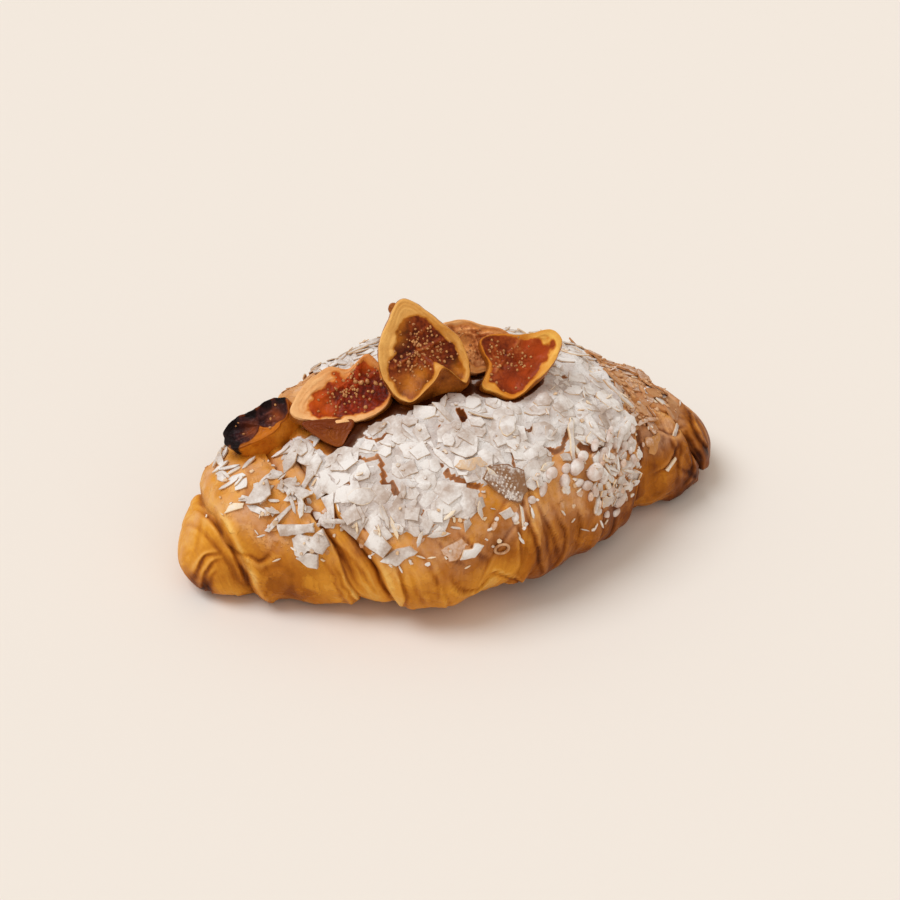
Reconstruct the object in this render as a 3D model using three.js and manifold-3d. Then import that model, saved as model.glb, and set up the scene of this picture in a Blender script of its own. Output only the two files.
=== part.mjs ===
// An almond croissant with six pieces of roasted fruit on its crest.
// Millimetres, +Z up, the croissant lies along X with its front towards -Y and rests on z = 0.
import * as THREE from "three";
import { mergeVertices } from "three/addons/utils/BufferGeometryUtils.js";
import Module from "manifold-3d";

const wasm = await Module();
wasm.setup();

// ---------------------------------------------------------------- driving dimensions
const CENTRE_X = -1; // how far right the thickest wrap lies, which the profile and seams are measured from
const CENTRE_Y = 2.4; // the front bulges further than the back, so the crest line stands this far back

// Body profile: [x, crest height, half-width to the front, half-width to the back]
const PROFILE = [
  [-86, 19, 13, 13],
  [-72.3, 31, 18, 19],
  [-51, 41.5, 32.5, 32],
  [-25.5, 49, 49.5, 44],
  [0, 54.5, 52, 46],
  [25.5, 49.5, 42.5, 40],
  [51, 39.5, 28, 28],
  [74, 25.5, 20, 20],
  [88, 18.5, 14.5, 14.5],
];
const CAP_LENGTH = 13.6; // length over which each end rounds off
const WAIST = 0.42; // height of the widest line, as a share of the crest height
const UPPER_ROUND = 2.25; // superellipse exponent above the widest line
const LOWER_ROUND = 2.8; // and below it, where the dough settles on the tray
const BASE_SPREAD = 1.1; // above 1 the underside is cut flat

// The rolled layers end in seams that ring the body: where each meets the front, and how far its top leans.
const SEAMS = [
  { at: -70.9, lean: -5.3 },
  { at: -47, lean: -9.5 },
  { at: -38.5, lean: -11.5 },
  { at: 1.5, lean: 7 },
  { at: 47.9, lean: 3.6 },
  { at: 76, lean: -8 },
];
const SEAM_RUN = 0.5; // half the length over which a seam steps from one layer to the next

// The bands between the seams, left to right: relief at both edges, swell between them, the number of thin
// ledges where layers show one behind another, how far each drops, and the columns of points on a ledge.
const BANDS = [
  { start: 0.2, end: -1.6, swell: 0.8, ledges: 3, drop: 1.1, columns: 3 },
  { start: 1.1, end: -0.2, swell: 1.2, ledges: 1, drop: 0, columns: 6 },
  { start: -1.1, end: -1.6, swell: 0.2, ledges: 1, drop: 0, columns: 2 },
  { start: 1.0, end: -1.2, swell: 1.5, ledges: 1, drop: 0, columns: 9 },
  { start: -0.7, end: 1.4, swell: 1.2, ledges: 1, drop: 0, columns: 9 },
  { start: -1.3, end: 1.2, swell: 1.1, ledges: 1, drop: 0, columns: 6 },
  { start: -1.1, end: 0, swell: 0.3, ledges: 2, drop: -0.9, columns: 3 },
];
const LEDGE_FILL = 0.93; // share of a ledge before it steps to the next
const TIP_CROWDING = 1.7; // the columns crowd together towards each tip
const CRAG_HEIGHT = 0.45;
const ROWS = 36; // points round a section
const FOOT_FADE = 3; // relief fades out over this height above the base

// Almond flakes fused to the crust
const FLAKE_COUNT = 112;
const FLAKE_SEED = 20;
const FLAKE_RADIUS = [2.9, 4.7];
const FLAKE_THICKNESS = 1.8;
const FLAKE_RISE = 0.5; // how far a flake's middle plane stands above the crust
const FLAKE_SPACING = 8.8;
const FLAKE_TILT = 0.2; // radians
const FLAKE_CORNERS = 6;
const FLAKE_TRIES = 6000;
// Lowest line of the flakes on the front and the back: [x, degrees above the widest line]
const FLAKE_LINE = [
  [-72, 80],
  [-62, 30],
  [-52, 14],
  [-44, 32],
  [-36, 16],
  [-14, 4],
  [2, 16],
  [12, 20],
  [32, 4],
  [46, 10],
  [58, 60],
];

// Fruit pieces. The rim of each cut face is a closed curve through [across, up, lift] in the face's own plane,
// which its middle and the direction it looks in set: degrees round from the front and up.
// Where the skin bulges past the rim, its girdle gives other points for the rim points of those numbers.
const GAP = 0.35; // clearance between a fruit piece and what it rests on
const FRUIT = {
  fig_top: {
    middle: [-12.5, -5.3, 67.8],
    looks: [-16, 26],
    rim: [
      [-5.4, 15.2, 0],
      [4.5, 8.6, 0],
      [11.2, 2.6, 0],
      [13.2, -5, 0],
      [11.8, -9.6, 1],
      [5.3, -4.6, 4.5],
      [0.4, -10.2, 4],
      [-5, -14.1, 2.2],
      [-10.6, -10, 0.3],
      [-12.8, 0.8, 0],
      [-10, 8.6, 0],
    ],
    girdle: { 4: [12.4, -10.4, -1], 5: [7.6, -13.2, -2], 6: [1.2, -15.2, -2], 7: [-4.8, -15.4, -1] },
    dish: 1.4,
    depth: 15.5,
    keel: [0.5, -5.5],
    stem: { at: [-7.6, 12.6, -3.2], length: 3.4, radius: 1.5 },
    colour: 0xb8662c,
    cutBy: [],
  },
  fig_left: {
    middle: [-36.3, 0.5, 56.4],
    looks: [-20, 50],
    rim: [
      [-14.6, -5.8, 0],
      [-11.2, 0.9, 0],
      [-3.6, 7.8, 0.2],
      [2.6, 7.6, -1.6],
      [8.6, 12, 0],
      [13, 7, -1],
      [14.8, 0.6, -1.4],
      [12.4, -5, -0.5],
      [4.6, -8.6, 0],
      [-5.1, -9, 0],
    ],
    dish: 0.9,
    depth: 13.5,
    keel: [2, -1.5],
    colour: 0xb35a28,
    cutBy: ["fig_top"],
  },
  fig_right: {
    middle: [16.1, -10.5, 60.3],
    looks: [-8, 44],
    rim: [
      [-10.4, 8, -1],
      [-3, 8.7, 0.5],
      [4.6, 8, 0],
      [10.8, 8, 0.3],
      [13.4, 4.6, 0],
      [10.6, -0.4, 0],
      [3.4, -6.6, 0],
      [-4.8, -10.4, 0],
      [-10.4, -7.4, 0],
      [-12.8, -5.4, -1.4],
      [-9.6, 0.8, -2.2],
    ],
    dish: 1.2,
    depth: 13,
    keel: [1, -1],
    colour: 0xa8481f,
    cutBy: ["fig_top"],
  },
  fig_back: {
    middle: [7.7, 0.9, 64.2],
    looks: [12, 40],
    rim: [
      [-10.4, 6.4, 0],
      [-3.6, 6.4, 0.4],
      [2.4, 3, 0.3],
      [8.4, -0.6, 0],
      [11.8, -6, -1],
      [4.4, -9.4, -2.4],
      [-4.4, -9, -3],
      [-10.6, -3, -2],
    ],
    dish: 1.4,
    depth: 14,
    keel: [0.5, -4],
    colour: 0xb96f3c,
    cutBy: ["fig_top", "fig_right"],
  },
  fig_charred: {
    middle: [-57.8, 8, 47.7],
    looks: [-50, 52],
    rim: [
      [-9.8, -6.2, 0.4],
      [-7.2, -1.4, 0.6],
      [-0.6, 5.4, 0.6],
      [5.4, 8.2, 0.4],
      [7.8, 5.4, -0.4],
      [5.4, 0.8, -0.6],
      [1.6, -5, -0.2],
      [-3.4, -9.8, 0.2],
      [-7.4, -9.2, 0.3],
    ],
    dish: 1.4,
    depth: 10.5,
    keel: [4, -4.5],
    colour: 0x6b3320,
    cutBy: ["fig_left"],
  },
  fig_under: {
    middle: [-41.8, -7.4, 49.2],
    looks: [-22, 44],
    rim: [
      [-8.4, 2.6, -0.4],
      [-1, 3.8, -0.6],
      [6.4, 3.4, -0.6],
      [4.6, -1, 0],
      [2.4, -4.4, 0.3],
      [-3.4, -1.8, 0.2],
    ],
    dish: 0.3,
    depth: 5,
    keel: [0, 1],
    colour: 0xb4622f,
    cutBy: ["fig_left", "fig_charred"],
  },
};
const RIM_STEPS = 26;
// Rings of a fruit piece from the middle of its face to its keel: [share of the rim, share of the dish's
// depth, share of the piece's depth, share of the way from the face's middle to the keel, and from the rim to
// the girdle]
const FRUIT_RINGS = [
  [0.42, 0.95, 0, 0, 0],
  [0.78, 0.5, 0, 0, 0],
  [0.93, 0, 0, 0, 0],
  [1.0, 0, 0.05, 0, 0],
  [1.02, 0, 0.28, 0.1, 1],
  [0.9, 0, 0.6, 0.4, 1],
  [0.55, 0, 0.9, 0.8, 1],
];

const CRUST_COLOUR = 0xc98a42;
const LEFT_TIP = PROFILE[0][0];
const RIGHT_TIP = PROFILE[PROFILE.length - 1][0];

// ---------------------------------------------------------------- small helpers
const radians = THREE.MathUtils.degToRad;
const lerp = THREE.MathUtils.lerp;
const smoothstep = THREE.MathUtils.smoothstep;

/** A seeded stream of numbers from 0 to 1. */
function randomStream(seed) {
  let state = seed;
  return () => {
    state = (state * 1664525 + 1013904223) % 4294967296;
    return state / 4294967296;
  };
}

/** Smooth, overshoot-free value of column k of a table of stations at x. */
function through(table, k, x) {
  const last = table.length - 1;
  const clamped = THREE.MathUtils.clamp(x, table[0][0], table[last][0]);
  let i = 0;
  while (i < last - 1 && clamped > table[i + 1][0]) i++;
  const width = (n) => table[n + 1][0] - table[n][0];
  const slope = (n) => (table[n + 1][k] - table[n][k]) / width(n);
  const tangent = (n) => {
    if (n === 0) return slope(0);
    if (n === last) return slope(last - 1);
    const [before, after] = [slope(n - 1), slope(n)];
    return before * after <= 0 ? 0 : (2 * before * after) / (before + after);
  };
  const u = (clamped - table[i][0]) / width(i);
  return (
    table[i][k] * (1 + 2 * u) * (1 - u) ** 2 +
    tangent(i) * width(i) * u * (1 - u) ** 2 +
    table[i + 1][k] * u * u * (3 - 2 * u) -
    tangent(i + 1) * width(i) * u * u * (1 - u)
  );
}

/** A closed three.js geometry as a solid that can be joined and cut. */
function solidOf(geometry) {
  const bare = geometry.clone();
  bare.deleteAttribute("normal");
  bare.deleteAttribute("uv");
  const merged = mergeVertices(bare, 1e-4);
  return new wasm.Manifold(
    new wasm.Mesh({
      numProp: 3,
      vertProperties: new Float32Array(merged.attributes.position.array),
      triVerts: new Uint32Array(merged.index.array),
    }),
  );
}

/** The largest body of a solid, so that loose scraps of a cut are dropped. */
function mainBody(solid) {
  return solid.decompose().reduce((a, b) => (b.volume() > a.volume() ? b : a));
}

/** A solid's surface as a three.js geometry. */
function geometryOf(solid) {
  const mesh = solid.getMesh();
  const geometry = new THREE.BufferGeometry();
  geometry.setAttribute("position", new THREE.BufferAttribute(mesh.vertProperties, 3));
  geometry.setIndex(new THREE.BufferAttribute(mesh.triVerts, 1));
  geometry.computeVertexNormals();
  return geometry;
}

/** A closed surface over rings of equal length, with a pole before the first ring and after the last. */
function closedRings(firstPole, rings, lastPole) {
  const count = rings[0].length;
  const points = [firstPole, ...rings.flat(), lastPole];
  const index = [];
  for (let j = 0; j < count; j++) {
    const next = (j + 1) % count;
    index.push(0, 1 + j, 1 + next);
    for (let i = 0; i < rings.length - 1; i++) {
      const a = 1 + i * count;
      const b = a + count;
      index.push(a + j, b + j, b + next, a + j, b + next, a + next);
    }
    const end = 1 + (rings.length - 1) * count;
    index.push(end + j, points.length - 1, end + next);
  }
  const geometry = new THREE.BufferGeometry().setFromPoints(points);
  geometry.setIndex(index);
  return geometry;
}

// ---------------------------------------------------------------- croissant body
/** Low crags of the crust, the same for every part that follows its surface. */
function crag(x, angle) {
  return (
    CRAG_HEIGHT *
    (Math.sin(0.23 * x + 2 * angle + 0.6) +
      0.7 * Math.sin(0.41 * x - 3 * angle + 2.1) +
      0.5 * Math.sin(0.67 * x + 5 * angle + 4.4))
  );
}

/** Where the seam or tip on either side of band k lies at an angle (0 at the front, 90 degrees on top). */
function seamX(k, angle) {
  if (k < 0) return LEFT_TIP;
  if (k === SEAMS.length) return RIGHT_TIP;
  return SEAMS[k].at + SEAMS[k].lean * Math.sin(angle);
}

/** How far a band's surface stands off the plain body; v runs from 0 at its left seam to 1 at its right. */
function bandRelief(band, v) {
  const across = Math.min(1, ((v * band.ledges) % 1) / LEDGE_FILL);
  const slope = lerp(band.start, band.end, smoothstep(v, 0, 1));
  return slope + band.swell * 4 * v * (1 - v) + band.drop * (0.5 - across);
}

/** How far the crust at x and an angle stands off the plain body. */
function crustRelief(x, angle) {
  let k = 0;
  while (k < SEAMS.length && x > seamX(k, angle)) k++;
  const [from, to] = [seamX(k - 1, angle), seamX(k, angle)];
  return bandRelief(BANDS[k], (x - from) / (to - from)) + crag(x, angle);
}

/** Where band k's columns lie, as shares of the way across it. */
function bandColumns(k) {
  const { ledges, columns } = BANDS[k];
  const shares = [];
  for (let i = 0; i < ledges; i++) {
    for (let j = 0; j <= columns; j++) {
      shares.push((i + (LEDGE_FILL * j) / columns) / (ledges - 1 + LEDGE_FILL));
    }
  }
  if (k === 0) return shares.slice(1).map((v) => v ** TIP_CROWDING);
  if (k === BANDS.length - 1) return shares.slice(0, -1).map((v) => 1 - (1 - v) ** TIP_CROWDING);
  return shares;
}

/** A point of the body's surface, moved out by relief. */
function bodyPoint(x, angle, relief) {
  const height = through(PROFILE, 1, x);
  const halfWidth = through(PROFILE, Math.cos(angle) > 0 ? 2 : 3, x);
  const toTip = Math.min(x - LEFT_TIP, RIGHT_TIP - x);
  const cap = Math.sqrt(Math.max(0, 1 - Math.max(0, 1 - toTip / CAP_LENGTH) ** 2.2));
  const waist = WAIST * height;
  const along = Math.cos(angle);
  const up = Math.sin(angle);
  const y = -halfWidth * cap * Math.sign(along) * Math.abs(along) ** (2 / UPPER_ROUND);
  const lowered = Math.min(1, BASE_SPREAD * Math.abs(up) ** (2 / LOWER_ROUND));
  const raised = (height - waist) * cap * Math.max(0, up) ** (2 / UPPER_ROUND);
  const z = up >= 0 ? waist + raised : waist - waist * lowered * cap;
  const reach = Math.hypot(y, z - waist) || 1;
  const push = relief * cap * smoothstep(z, -0.01, FOOT_FADE);
  return new THREE.Vector3(
    x + CENTRE_X,
    y + (push * y) / reach + CENTRE_Y,
    Math.max(0, z + (push * (z - waist)) / reach),
  );
}

/** The ring of points at a share v of the way across band k. */
function bodyRing(k, v, clearance) {
  const ring = [];
  for (let j = 0; j < ROWS; j++) {
    const angle = (2 * Math.PI * j) / ROWS - Math.PI / 2;
    const from = seamX(k - 1, angle) + (k === 0 ? 0 : SEAM_RUN);
    const to = seamX(k, angle) - (k === SEAMS.length ? 0 : SEAM_RUN);
    const x = lerp(from, to, v);
    ring.push(bodyPoint(x, angle, bandRelief(BANDS[k], v) + crag(x, angle) + clearance));
  }
  return ring;
}

/** The whole body, grown outwards by some clearance. */
function bodySolid(clearance) {
  const rings = BANDS.flatMap((band, k) => bandColumns(k).map((v) => bodyRing(k, v, clearance)));
  const pole = (x, out) => new THREE.Vector3(x + CENTRE_X + out, CENTRE_Y, WAIST * through(PROFILE, 1, x));
  return solidOf(closedRings(pole(LEFT_TIP, -clearance), rings, pole(RIGHT_TIP, clearance)));
}

// ---------------------------------------------------------------- fruit pieces
/** The turn that stands a face's own axes (across, up, out) in the direction it looks. */
function facing([round, up]) {
  const turn = radians(round);
  const rise = radians(up);
  const out = new THREE.Vector3(
    Math.sin(turn) * Math.cos(rise),
    -Math.cos(turn) * Math.cos(rise),
    Math.sin(rise),
  );
  const across = new THREE.Vector3(0, 0, 1).cross(out).normalize();
  return new THREE.Matrix4().makeBasis(across, out.clone().cross(across), out);
}

/** A roasted wedge: dished cut face, rolled rim and rounded skin, grown outwards by some clearance. */
function fruitSolid(piece, clearance) {
  const closedCurve = (marks) =>
    new THREE.CatmullRomCurve3(
      marks.map((mark) => new THREE.Vector3(...mark)),
      true,
      "centripetal",
    );
  const edge = closedCurve(piece.rim);
  const skin = closedCurve(piece.rim.map((mark, i) => piece.girdle?.[i] ?? mark));
  const along = Array.from({ length: RIM_STEPS }, (_, i) => edge.getUtoTmapping(1 - i / RIM_STEPS));
  const rim = along.map((t) => edge.getPoint(t));
  const girdle = along.map((t) => skin.getPoint(t));
  const middle = rim.reduce((sum, p) => sum.add(p), new THREE.Vector3()).divideScalar(RIM_STEPS);
  const keel = new THREE.Vector3(piece.keel[0], piece.keel[1], 0);
  const rings = FRUIT_RINGS.map(([share, dish, depth, shift, bulge]) => {
    const centre = middle.clone().lerp(keel, shift);
    return rim.map((onRim, i) => {
      const p = onRim.clone().lerp(girdle[i], bulge);
      const point = p.clone().sub(middle).multiplyScalar(share).add(centre);
      point.z = p.z * Math.min(1, share) * (1 - depth) - piece.dish * dish - piece.depth * depth;
      return point;
    });
  });
  const facePole = new THREE.Vector3(middle.x, middle.y, -piece.dish);
  const keelPole = new THREE.Vector3(keel.x, keel.y, -piece.depth);
  const inside = new THREE.Vector3(middle.x, middle.y, -piece.depth / 2);
  const grow = (p) => p.add(p.clone().sub(inside).normalize().multiplyScalar(clearance));
  rings.forEach((ring) => ring.forEach(grow));
  let solid = solidOf(closedRings(grow(facePole), rings, grow(keelPole)));
  if (piece.stem) solid = solid.add(stemSolid(piece.stem, clearance));
  const place = facing(piece.looks).setPosition(...piece.middle);
  return solid.transform(place.toArray());
}

/** The short stub of stalk at a wedge's tip. */
function stemSolid({ at, length, radius }, clearance) {
  const stub = new THREE.CylinderGeometry(radius * 0.8 + clearance, radius + clearance, length, 8);
  stub.translate(...at);
  return solidOf(stub);
}

/** All fruit pieces, each cut clear of the crust and of the pieces it leans on. */
function fruitSolids(crust) {
  const solids = {};
  for (const [name, piece] of Object.entries(FRUIT)) {
    let solid = fruitSolid(piece, 0).subtract(crust);
    for (const other of piece.cutBy) solid = solid.subtract(fruitSolid(FRUIT[other], 2 * GAP));
    solids[name] = mainBody(solid);
  }
  return solids;
}

// ---------------------------------------------------------------- almond flakes
/** One flake: a thin plate with uneven corners, centred on its own origin. */
function flakeSolid(radius, random) {
  const outline = new THREE.Shape();
  for (let i = 0; i < FLAKE_CORNERS; i++) {
    const angle = (2 * Math.PI * (i + 0.5 * random())) / FLAKE_CORNERS;
    const reach = radius * (0.72 + 0.5 * random());
    const [x, y] = [reach * Math.cos(angle), 0.78 * reach * Math.sin(angle)];
    if (i === 0) outline.moveTo(x, y);
    else outline.lineTo(x, y);
  }
  outline.closePath();
  const plate = new THREE.ExtrudeGeometry(outline, { depth: FLAKE_THICKNESS, bevelEnabled: false });
  plate.translate(0, 0, FLAKE_RISE - FLAKE_THICKNESS / 2);
  return solidOf(plate);
}

/** The turn and place of a flake that lies on the crust at x and an angle round the section. */
function flakePlace(x, angle, random) {
  const step = 0.02;
  const point = bodyPoint(x, angle, crustRelief(x, angle));
  const alongX = bodyPoint(x + 1, angle, 0).sub(bodyPoint(x - 1, angle, 0));
  const round = bodyPoint(x, angle + step, 0).sub(bodyPoint(x, angle - step, 0));
  const out = round.cross(alongX).normalize().negate();
  const stand = new THREE.Quaternion().setFromUnitVectors(new THREE.Vector3(0, 0, 1), out);
  const spin = new THREE.Quaternion().setFromEuler(
    new THREE.Euler(FLAKE_TILT * (random() - 0.5), FLAKE_TILT * (random() - 0.5), Math.PI * random()),
  );
  return new THREE.Matrix4().compose(point, stand.multiply(spin), new THREE.Vector3(1, 1, 1));
}

/** The flakes spread evenly over the top of the crust, clear of the fruit. */
function flakeSolids(fruit) {
  const random = randomStream(FLAKE_SEED);
  const [firstX, lastX] = [FLAKE_LINE[0][0], FLAKE_LINE[FLAKE_LINE.length - 1][0]];
  const kept = [];
  for (let i = 0; i < FLAKE_TRIES && kept.length < FLAKE_COUNT; i++) {
    const x = lerp(firstX, lastX, random());
    const lowest = through(FLAKE_LINE, 1, x);
    const angle = radians(lerp(lowest, 180 - lowest, random()));
    const radius = lerp(...FLAKE_RADIUS, random());
    const middle = bodyPoint(x, angle, 0);
    if (kept.some((flake) => flake.middle.distanceTo(middle) < FLAKE_SPACING)) continue;
    const solid = flakeSolid(radius, random).transform(flakePlace(x, angle, random).toArray());
    if (fruit.some((piece) => !piece.intersect(solid).isEmpty())) continue;
    kept.push({ middle, solid });
  }
  return kept.map((flake) => flake.solid);
}

// ---------------------------------------------------------------- the part
/** A named mesh with its own material. */
function namedMesh(name, solid, colour, roughness) {
  const material = new THREE.MeshStandardMaterial({ color: colour, roughness, metalness: 0 });
  const mesh = new THREE.Mesh(geometryOf(solid), material);
  mesh.name = name;
  return mesh;
}

const croissant = new THREE.Group();
const fruitPieces = fruitSolids(bodySolid(GAP));
const fruitWithMargin = Object.values(FRUIT).map((piece) => fruitSolid(piece, 2 * GAP));
const crust = flakeSolids(fruitWithMargin).reduce((sum, flake) => sum.add(flake), bodySolid(0));
croissant.add(namedMesh("croissant", mainBody(crust), CRUST_COLOUR, 0.55));
for (const [name, solid] of Object.entries(fruitPieces)) {
  croissant.add(namedMesh(name, solid, FRUIT[name].colour, 0.4));
}

export default croissant;
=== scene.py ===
"""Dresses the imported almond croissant: laminated crust, almond flakes, icing sugar and roasted fig wedges.

All shapes are worked out in millimetres in the row frame and written to the meshes in metres.
"""

import itertools
import logging
import math
from dataclasses import dataclass
from enum import Enum
from typing import Any, Iterable, Optional, Sequence

import bpy
import numpy as np
from mathutils import Matrix, Vector
from mathutils.bvhtree import BVHTree


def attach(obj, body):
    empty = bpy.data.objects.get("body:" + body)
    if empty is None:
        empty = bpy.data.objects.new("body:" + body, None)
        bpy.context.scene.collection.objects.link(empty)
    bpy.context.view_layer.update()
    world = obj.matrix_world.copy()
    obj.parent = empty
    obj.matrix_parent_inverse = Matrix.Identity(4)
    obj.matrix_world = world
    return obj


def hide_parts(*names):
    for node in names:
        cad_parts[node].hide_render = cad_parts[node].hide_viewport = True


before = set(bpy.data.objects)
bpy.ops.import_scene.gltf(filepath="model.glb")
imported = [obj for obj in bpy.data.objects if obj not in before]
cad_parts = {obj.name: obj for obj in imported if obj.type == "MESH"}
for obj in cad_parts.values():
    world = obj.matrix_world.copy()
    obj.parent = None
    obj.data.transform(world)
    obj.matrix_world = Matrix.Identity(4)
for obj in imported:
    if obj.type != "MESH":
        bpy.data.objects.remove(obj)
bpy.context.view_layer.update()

LOG = logging.getLogger("croissant")
MM = 0.001
Array = np.ndarray
Random = np.random.Generator
Mesh = bpy.types.Object
Material = bpy.types.Material
Socket = bpy.types.NodeSocket
Colour = tuple[float, float, float]
Point = tuple[float, float, float]
# A round spot: its place across and up, and its radius.
Spot = tuple[float, float, float]
Pair = tuple[float, float]
Path = tuple[Pair, ...]
Cell = tuple[int, int]
# Where a plate rests: the crust's point, the plate's axes, its height there and its slopes.
Rested = tuple[Array, Array, float, Array]


# ---------------------------------------------------------------- numbers
def smoothstep(x: Array, low: float, high: float) -> Array:
    """0 below low, 1 above high and a smooth rise between."""
    t = np.clip((x - low) / (high - low), 0, 1)
    return t * t * (3 - 2 * t)


def through(places: Sequence[float], values: Sequence[float], at: Array) -> Array:
    """Smooth, overshoot-free curve through stations.

    Args:
        places: Rising places of the stations.
        values: The curve's value at each station.
        at: Where the curve is wanted.

    Returns:
        The curve's values there.
    """
    xs, ys = np.asarray(places, float), np.asarray(values, float)
    width = np.diff(xs)
    slope = np.diff(ys) / width
    tangent = np.zeros_like(ys)
    tangent[0], tangent[-1] = slope[0], slope[-1]
    before, after = slope[:-1], slope[1:]
    same = before * after > 0
    total = np.where(same, before + after, 1)
    tangent[1:-1] = np.where(same, 2 * before * after / total, 0)
    at = np.clip(at, xs[0], xs[-1])
    i = np.clip(np.searchsorted(xs, at) - 1, 0, len(width) - 1)
    u = (at - xs[i]) / width[i]
    return (
        ys[i] * (1 + 2 * u) * (1 - u) ** 2
        + tangent[i] * width[i] * u * (1 - u) ** 2
        + ys[i + 1] * u * u * (3 - 2 * u)
        - tangent[i + 1] * width[i] * u * u * (1 - u)
    )


def rows(*columns: Array) -> Array:
    """The columns side by side."""
    return np.stack(columns, -1)


def norms(vectors: Array) -> Array:
    """The vectors' lengths."""
    return np.linalg.norm(vectors, axis=-1)


def bell(distance: Array, width: float) -> Array:
    """1 at no distance, and less over about that width."""
    return np.exp(-((distance / width) ** 2))


def lattice(cells: Array, seed: int) -> Array:
    """A fixed number from -1 to 1 for each whole-numbered cell."""
    factors = np.array([374761393, 668265263, 2147483647])[: cells.shape[-1]]
    mixed = (cells.astype(np.int64) * factors).sum(-1) + seed * 974634777
    mixed = (mixed ^ (mixed >> 13)) * 1274126177
    mixed = (mixed ^ (mixed >> 16)) & 0xFFFFFF
    return mixed / 0x7FFFFF - 1


def bumps(points: Array, size: float, seed: int) -> Array:
    """Smooth noise from -1 to 1 whose bumps are about size across."""
    scaled = points / size
    cell = np.floor(scaled)
    part = scaled - cell
    part = part * part * (3 - 2 * part)
    total = np.zeros(len(points))
    for corner in itertools.product((0, 1), repeat=points.shape[-1]):
        weight = np.prod(np.where(corner, part, 1 - part), axis=-1)
        total += weight * lattice(cell + np.array(corner), seed)
    return total


def crags(points: Array, size: float, seed: int, octaves: int = 3) -> Array:
    """Bumps with finer bumps on them, from about -1 to 1."""
    return sum(bumps(points, size / 2**n, seed + n) / 2**n for n in range(octaves))


def pebbles(points: Array, size: float, seed: int) -> Array:
    """Height from 0 to 1 of round pebbles of about that size, packed side by side."""
    scaled = points / size
    cell = np.floor(scaled)
    dims = points.shape[-1]
    nearest = np.full(len(points), 9.0)
    for offset in itertools.product((-1, 0, 1), repeat=dims):
        corner = cell + np.array(offset)
        spot = rows(*(lattice(corner, seed + k) * 0.4 + 0.5 for k in range(dims)))
        nearest = np.minimum(nearest, ((corner + spot - scaled) ** 2).sum(-1))
    return np.clip(1 - nearest, 0, 1)


def distance_to_path(points: Array, path: Sequence[Pair]) -> Array:
    """Distance of flat points from a line of straight stretches."""
    return np.abs(beside_path(points, np.array(path, float))[0])


def beside_path(points: Array, path: Array) -> tuple[Array, Array]:
    """Where flat points lie beside a line of straight stretches.

    Args:
        points: The points.
        path: The line's corners.

    Returns:
        Distances, positive on the line's left, and how far along it each point lies, from 0 to 1.
    """
    nearest, signed, place = np.full(len(points), 1e9), np.zeros(len(points)), np.zeros(len(points))
    lengths = np.maximum(np.linalg.norm(np.diff(path, axis=0), axis=1), 1e-6)
    passed = 0.0
    for start, end, length in zip(path, path[1:], lengths):
        d = (end - start) / length
        along = np.clip((points - start) @ d, 0, length)
        away = points - start - along[:, None] * d
        distance = np.hypot(away[:, 0], away[:, 1])
        closer = distance < nearest
        left = d[0] * away[:, 1] - d[1] * away[:, 0] >= 0
        signed = np.where(closer, np.where(left, distance, -distance), signed)
        place = np.where(closer, (passed + along) / lengths.sum(), place)
        nearest = np.minimum(nearest, distance)
        passed += length
    return signed, place


def rounded(path: Sequence[Sequence[float]], times: int = 2) -> Array:
    """An open line with its corners cut that many times."""
    line = np.array(path, float)
    for _ in range(times):
        cut = np.stack([0.75 * line[:-1] + 0.25 * line[1:], 0.25 * line[:-1] + 0.75 * line[1:]], 1)
        line = np.concatenate([line[:1], cut.reshape(-1, line.shape[1]), line[-1:]])
    return line


def blurred(values: Array, times: int) -> Array:
    """A map averaged with its neighbours that many times."""
    for _ in range(times):
        padded = np.pad(values, 1, mode="edge")
        beside = padded[:-2, 1:-1] + padded[2:, 1:-1] + padded[1:-1, :-2] + padded[1:-1, 2:]
        values = 0.2 * (padded[1:-1, 1:-1] + beside)
    return values


def inside_outline(points: Array, outline: Array) -> Array:
    """Which flat points lie inside a closed outline."""
    inside = np.zeros(len(points), bool)
    for a, b in zip(outline, np.roll(outline, -1, axis=0)):
        crosses = (a[1] > points[:, 1]) != (b[1] > points[:, 1])
        rise = b[1] - a[1] if abs(b[1] - a[1]) > 1e-9 else 1e-9
        inside ^= crosses & (points[:, 0] < (b[0] - a[0]) * (points[:, 1] - a[1]) / rise + a[0])
    return inside


# ---------------------------------------------------------------- meshes
def only(*objects: Mesh) -> None:
    """Selects these objects alone and makes the first active."""
    bpy.ops.object.select_all(action="DESELECT")
    for obj in objects:
        obj.select_set(True)
    bpy.context.view_layer.objects.active = objects[0]


def read_points(obj: Mesh) -> Array:
    """The vertices of a mesh as rows of numbers, in the mesh's own unit."""
    flat = np.zeros(len(obj.data.vertices) * 3)
    obj.data.vertices.foreach_get("co", flat)
    return flat.reshape(-1, 3)


def write_points(obj: Mesh, points: Array) -> None:
    """Moves the vertices of a mesh to these points."""
    obj.data.vertices.foreach_set("co", np.asarray(points, np.float32).ravel())
    obj.data.update()


def paint(obj: Mesh, **maps: Array) -> None:
    """Keeps a number or a vector at each vertex under each name that the material reads."""
    for name, values in maps.items():
        values = np.asarray(values, np.float32)
        kind, key = ("FLOAT", "value") if values.ndim == 1 else ("FLOAT_VECTOR", "vector")
        attribute = obj.data.attributes.new(name, kind, "POINT")
        attribute.data.foreach_set(key, values.ravel())


def joined(objects: list[Mesh]) -> Mesh:
    """Joins objects into one."""
    only(*objects)
    if len(objects) > 1:
        bpy.ops.object.join()
    return bpy.context.view_layer.objects.active


def ball(segments: int, rings: int) -> Mesh:
    """A ball of radius 1, to be shaped."""
    bpy.ops.object.select_all(action="DESELECT")
    bpy.ops.mesh.primitive_uv_sphere_add(segments=segments, ring_count=rings, radius=1)
    return bpy.context.object


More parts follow.
